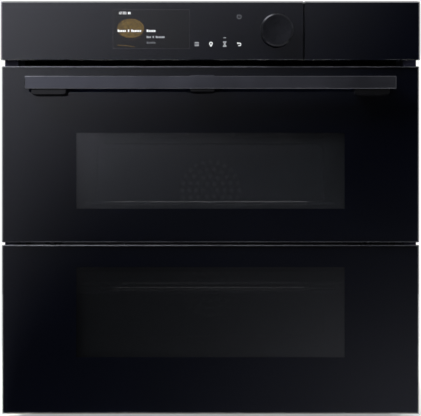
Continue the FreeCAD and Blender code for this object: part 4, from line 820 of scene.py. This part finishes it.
bm = bmesh.new()
spots = []
span = rearHigh[0] - rearLow[0] - 2 * welds["end"]
count = int(span / welds["pitch"])
for k in range(count + 1):
    x = rearLow[0] + welds["end"] + span * k / count
    spots += [(x, rearLow[2] + welds["edge"]), (x, rearHigh[2] - welds["edge"])]
for x, z in spots:
    domeInto(bm, x, rearHigh[1], z, welds["radius"], welds["height"], welds["rings"])
addPiece("weldSpots", bm, "galvanisedSheet", "oven", smooth=True)

blockLow, blockHigh = boxMm("terminal_block")
terminal = {"count": 3, "first": 14.5, "pitch": 16.5, "down": 15, "sunk": 9, "radius": 4.2,
            "slotHalf": 0.6, "long": 8, "slotDeep": 1}
slotLean = math.degrees(math.asin(terminal["slotHalf"] / terminal["radius"]))
z, y1 = blockHigh[2] - terminal["down"], blockHigh[1] - terminal["sunk"]
bm = bmesh.new()
for k in range(terminal["count"]):
    x = blockLow[0] + terminal["first"] + terminal["pitch"] * k
    prismInto(bm, arc(x, z, terminal["radius"], 0, 345, 23), y1 - terminal["long"],
              y1 - terminal["slotDeep"])
    for turn in (0, 180):
        prismInto(bm, arc(x, z, terminal["radius"], turn + slotLean, turn + 180 - slotLean, 12),
                  y1 - terminal["slotDeep"] + 0.01, y1)
addPiece("terminalScrews", bm, "turnedBrass", "oven")
print("back details made")

# Door hardware seen with the door open: screws in the stiles, one near each end.
stileScrews = {"x": 263.8, "radius": 3.2, "proud": 1.0, "rings": 4, "above": 52, "below": 26}
for name, node, body in (("upperStileScrews", "upper_door_stiles", "upper_door"),
                         ("lowerStileScrews", "lower_door_stiles", "lower_door")):
    low, high = boxMm(node)
    bm = bmesh.new()
    for s in (-1, 1):
        for z in (low[2] + stileScrews["above"], high[2] - stileScrews["below"]):
            domeInto(bm, s * stileScrews["x"], high[1], z, stileScrews["radius"],
                     stileScrews["proud"], stileScrews["rings"])
    addPiece(name, bm, "zincPlate", body, smooth=True)

# Stage, light and camera.
floorLook = {"front": -0.335, "reach": 4.0, "dark": "#e9e9e7", "light": "#f1f1ef",
             "glow": 0.42, "near": 0.6, "far": 1.5}
bm = bmesh.new()
reach, front = floorLook["reach"], floorLook["front"]
corners = [bm.verts.new(p) for p in ((-reach, front, 0), (reach, front, 0), (reach, reach, 0),
                                     (-reach, reach, 0))]
bm.faces.new(corners)
floorMesh = bpy.data.meshes.new("paleFloor")
bm.to_mesh(floorMesh)
bm.free()
paleFloor = bpy.data.objects.new("paleFloor", floorMesh)
bpy.context.scene.collection.objects.link(paleFloor)
floorMat, tree = startMaterial("paintedFloor")
grit = addNode(tree, "TexNoise", {"Vector": addNode(tree, "TexCoord").outputs["Object"],
                                  "Scale": perMetre(35), "Detail": 4.0})
floorTone = addNode(tree, "Mix", {0: grit.outputs["Fac"], 6: toLinear(floorLook["dark"]),
                                  7: toLinear(floorLook["light"])}, data_type="RGBA")
floorShade = addNode(tree, "BsdfPrincipled", {"Base Color": floorTone.outputs[2], "Roughness": 0.9,
                                              "Emission Color": floorTone.outputs[2],
                                              "Emission Strength": floorLook["glow"]})
away = addNode(tree, "VectorMath", {0: addNode(tree, "TexCoord").outputs["Object"]},
               operation="LENGTH")
fade = addNode(tree, "MapRange", {"Value": away.outputs["Value"], "From Min": floorLook["near"],
                                  "From Max": floorLook["far"]})
backdrop = addNode(tree, "Emission", {"Color": toLinear("#ffffff")})
faded = addNode(tree, "MixShader", {0: fade.outputs[0], 1: floorShade.outputs[0],
                                    2: backdrop.outputs[0]})
endMaterial(tree, faded.outputs[0])
floorMesh.materials.append(floorMat)
paleFloor.visible_diffuse = False

# A large soft card behind the camera, brighter towards the upper left: the glass mirrors it.
card = {"y": -5.0, "z": 0.2966, "half": 1.15, "mirror": 0.77, "steps": 72, "broad": 1.49,
        "thin": 0.02, "spread": 0.97, "drop": 0.826, "corner": 0.31, "middle": 0.0375}


def cardGlow(u, v):
    # u and v run from -1 to 1 over what the oven's front mirrors
    look = card
    reach = look["thin"] + look["spread"] * max(0.0, (v + 1) / 2) ** 1.65
    broad = look["broad"] * math.exp(-(max(0.0, u + 1) / reach) ** 1.15
                                     - (max(0.0, 1 - v) / look["drop"]) ** 1.35
                                     - (max(0.0, u - 0.42) / 0.485) ** 2)
    corner = look["corner"] * math.exp(-(max(0.0, 1 - u) / 0.8) ** 1.32
                                       - (max(0.0, v + 1) / 0.624) ** 1.65)
    middle = look["middle"] * math.exp(-(u / 0.6) ** 2 - ((v + 0.1) / 0.275) ** 2)
    return broad + corner + middle


steps = card["steps"]
bm = bmesh.new()
grid = [[bm.verts.new(((2 * i / steps - 1) * card["half"], card["y"],
                       card["z"] + (2 * j / steps - 1) * card["half"])) for i in range(steps + 1)]
        for j in range(steps + 1)]
for j in range(steps):
    for i in range(steps):
        bm.faces.new((grid[j][i], grid[j + 1][i], grid[j + 1][i + 1], grid[j][i + 1]))
cardMesh = bpy.data.meshes.new("softCard")
bm.to_mesh(cardMesh)
bm.free()
glowLayer = cardMesh.attributes.new("glow", "FLOAT_COLOR", "POINT")
for k, vert in enumerate(cardMesh.vertices):
    g = cardGlow(vert.co.x / card["mirror"], (vert.co.z - card["z"]) / card["mirror"])
    glowLayer.data[k].color = (g, g * 1.01, g * 1.14, 1)
softCard = bpy.data.objects.new("softCard", cardMesh)
bpy.context.scene.collection.objects.link(softCard)
cardMat, tree = startMaterial("cardGlow")
layer = addNode(tree, "VertexColor", layer_name="glow")
endMaterial(tree, addNode(tree, "Emission", {"Color": layer.outputs["Color"]}).outputs[0])
cardMesh.materials.append(cardMat)
softCard.visible_camera = False

# name: (place, aim, width, height, watts, colour)
lights = {
    "keyLeft": ((-1.7, -1.9, 2.1), (0, 0, 0.3), 1.2, 0.9, 42, "#ffffff"),
    "topStrip": ((-0.9, -0.5, 2.5), (0, 0.0, 0.3), 2.2, 1.2, 44, "#ffffff"),
    "fillRight": ((2.4, -1.2, 1.4), (0, 0, 0.3), 1.2, 1.2, 14, "#f4f6ff"),
    "backLeft": ((-2.0, 2.2, 1.8), (0, 0, 0.3), 1.8, 1.8, 34, "#ffffff"),
    "backRight": ((2.2, 2.0, 1.5), (0, 0, 0.3), 1.4, 1.4, 34, "#fff8f0"),
    "upperCavity": ((0, -0.05, 0.418), (0, -0.05, 0.2), 0.3, 0.2, 0.35, "#fff2e0"),
    "lowerCavity": ((0, -0.05, 0.232), (0, -0.05, 0.0), 0.3, 0.2, 0.1, "#fff2e0"),
}
for name, (place, aim, width, height, watts, colour) in lights.items():
    lamp = bpy.data.lights.new(name, "AREA")
    lamp.shape = "RECTANGLE"
    lamp.size, lamp.size_y = width, height
    lamp.energy = watts
    lamp.color = toLinear(colour)[:3]
    holder = bpy.data.objects.new(name, lamp)
    holder.location = place
    holder.rotation_euler = (Vector(aim) - Vector(place)).to_track_quat("-Z", "Y").to_euler()
    holder.visible_camera = False
    bpy.context.scene.collection.objects.link(holder)

# Seen directly the surroundings are white; what they add to the object is dim in front,
# where the glass mirrors them, and brighter behind and above.
sky = {"front": 0.1, "back": 0.55, "seen": 1.0}
world = bpy.data.worlds.new("studio")
bpy.context.scene.world = world
world.use_nodes = True
tree = world.node_tree
tree.nodes.clear()
heading = addNode(tree, "SeparateXYZ", {"Vector": addNode(tree, "TexCoord").outputs["Generated"]})
level = addNode(tree, "MapRange", {"Value": heading.outputs["Y"], "From Min": -0.3, "From Max": 0.5,
                                   "To Min": sky["front"], "To Max": sky["back"]})
dim = addNode(tree, "Background", {"Color": toLinear("#ffffff"), "Strength": level.outputs[0]})
seen = addNode(tree, "Background", {"Color": toLinear("#ffffff"), "Strength": sky["seen"]})
path = addNode(tree, "LightPath")
both = addNode(tree, "MixShader", {0: path.outputs["Is Camera Ray"], 1: dim.outputs[0],
                                   2: seen.outputs[0]})
tree.links.new(both.outputs[0], addNode(tree, "OutputWorld").inputs["Surface"])

view = {"place": (0, -3.25, 0.2966), "lens": 180}
camData = bpy.data.cameras.new("frontCamera")
camData.lens = view["lens"]
camData.sensor_width = 36
camData.clip_end = 50
camera = bpy.data.objects.new("frontCamera", camData)
camera.location = view["place"]
camera.rotation_euler = (math.radians(90), 0, 0)
bpy.context.scene.collection.objects.link(camera)
bpy.context.scene.camera = camera
bpy.context.scene.view_settings.view_transform = "Standard"
print("stage, lights and camera set")
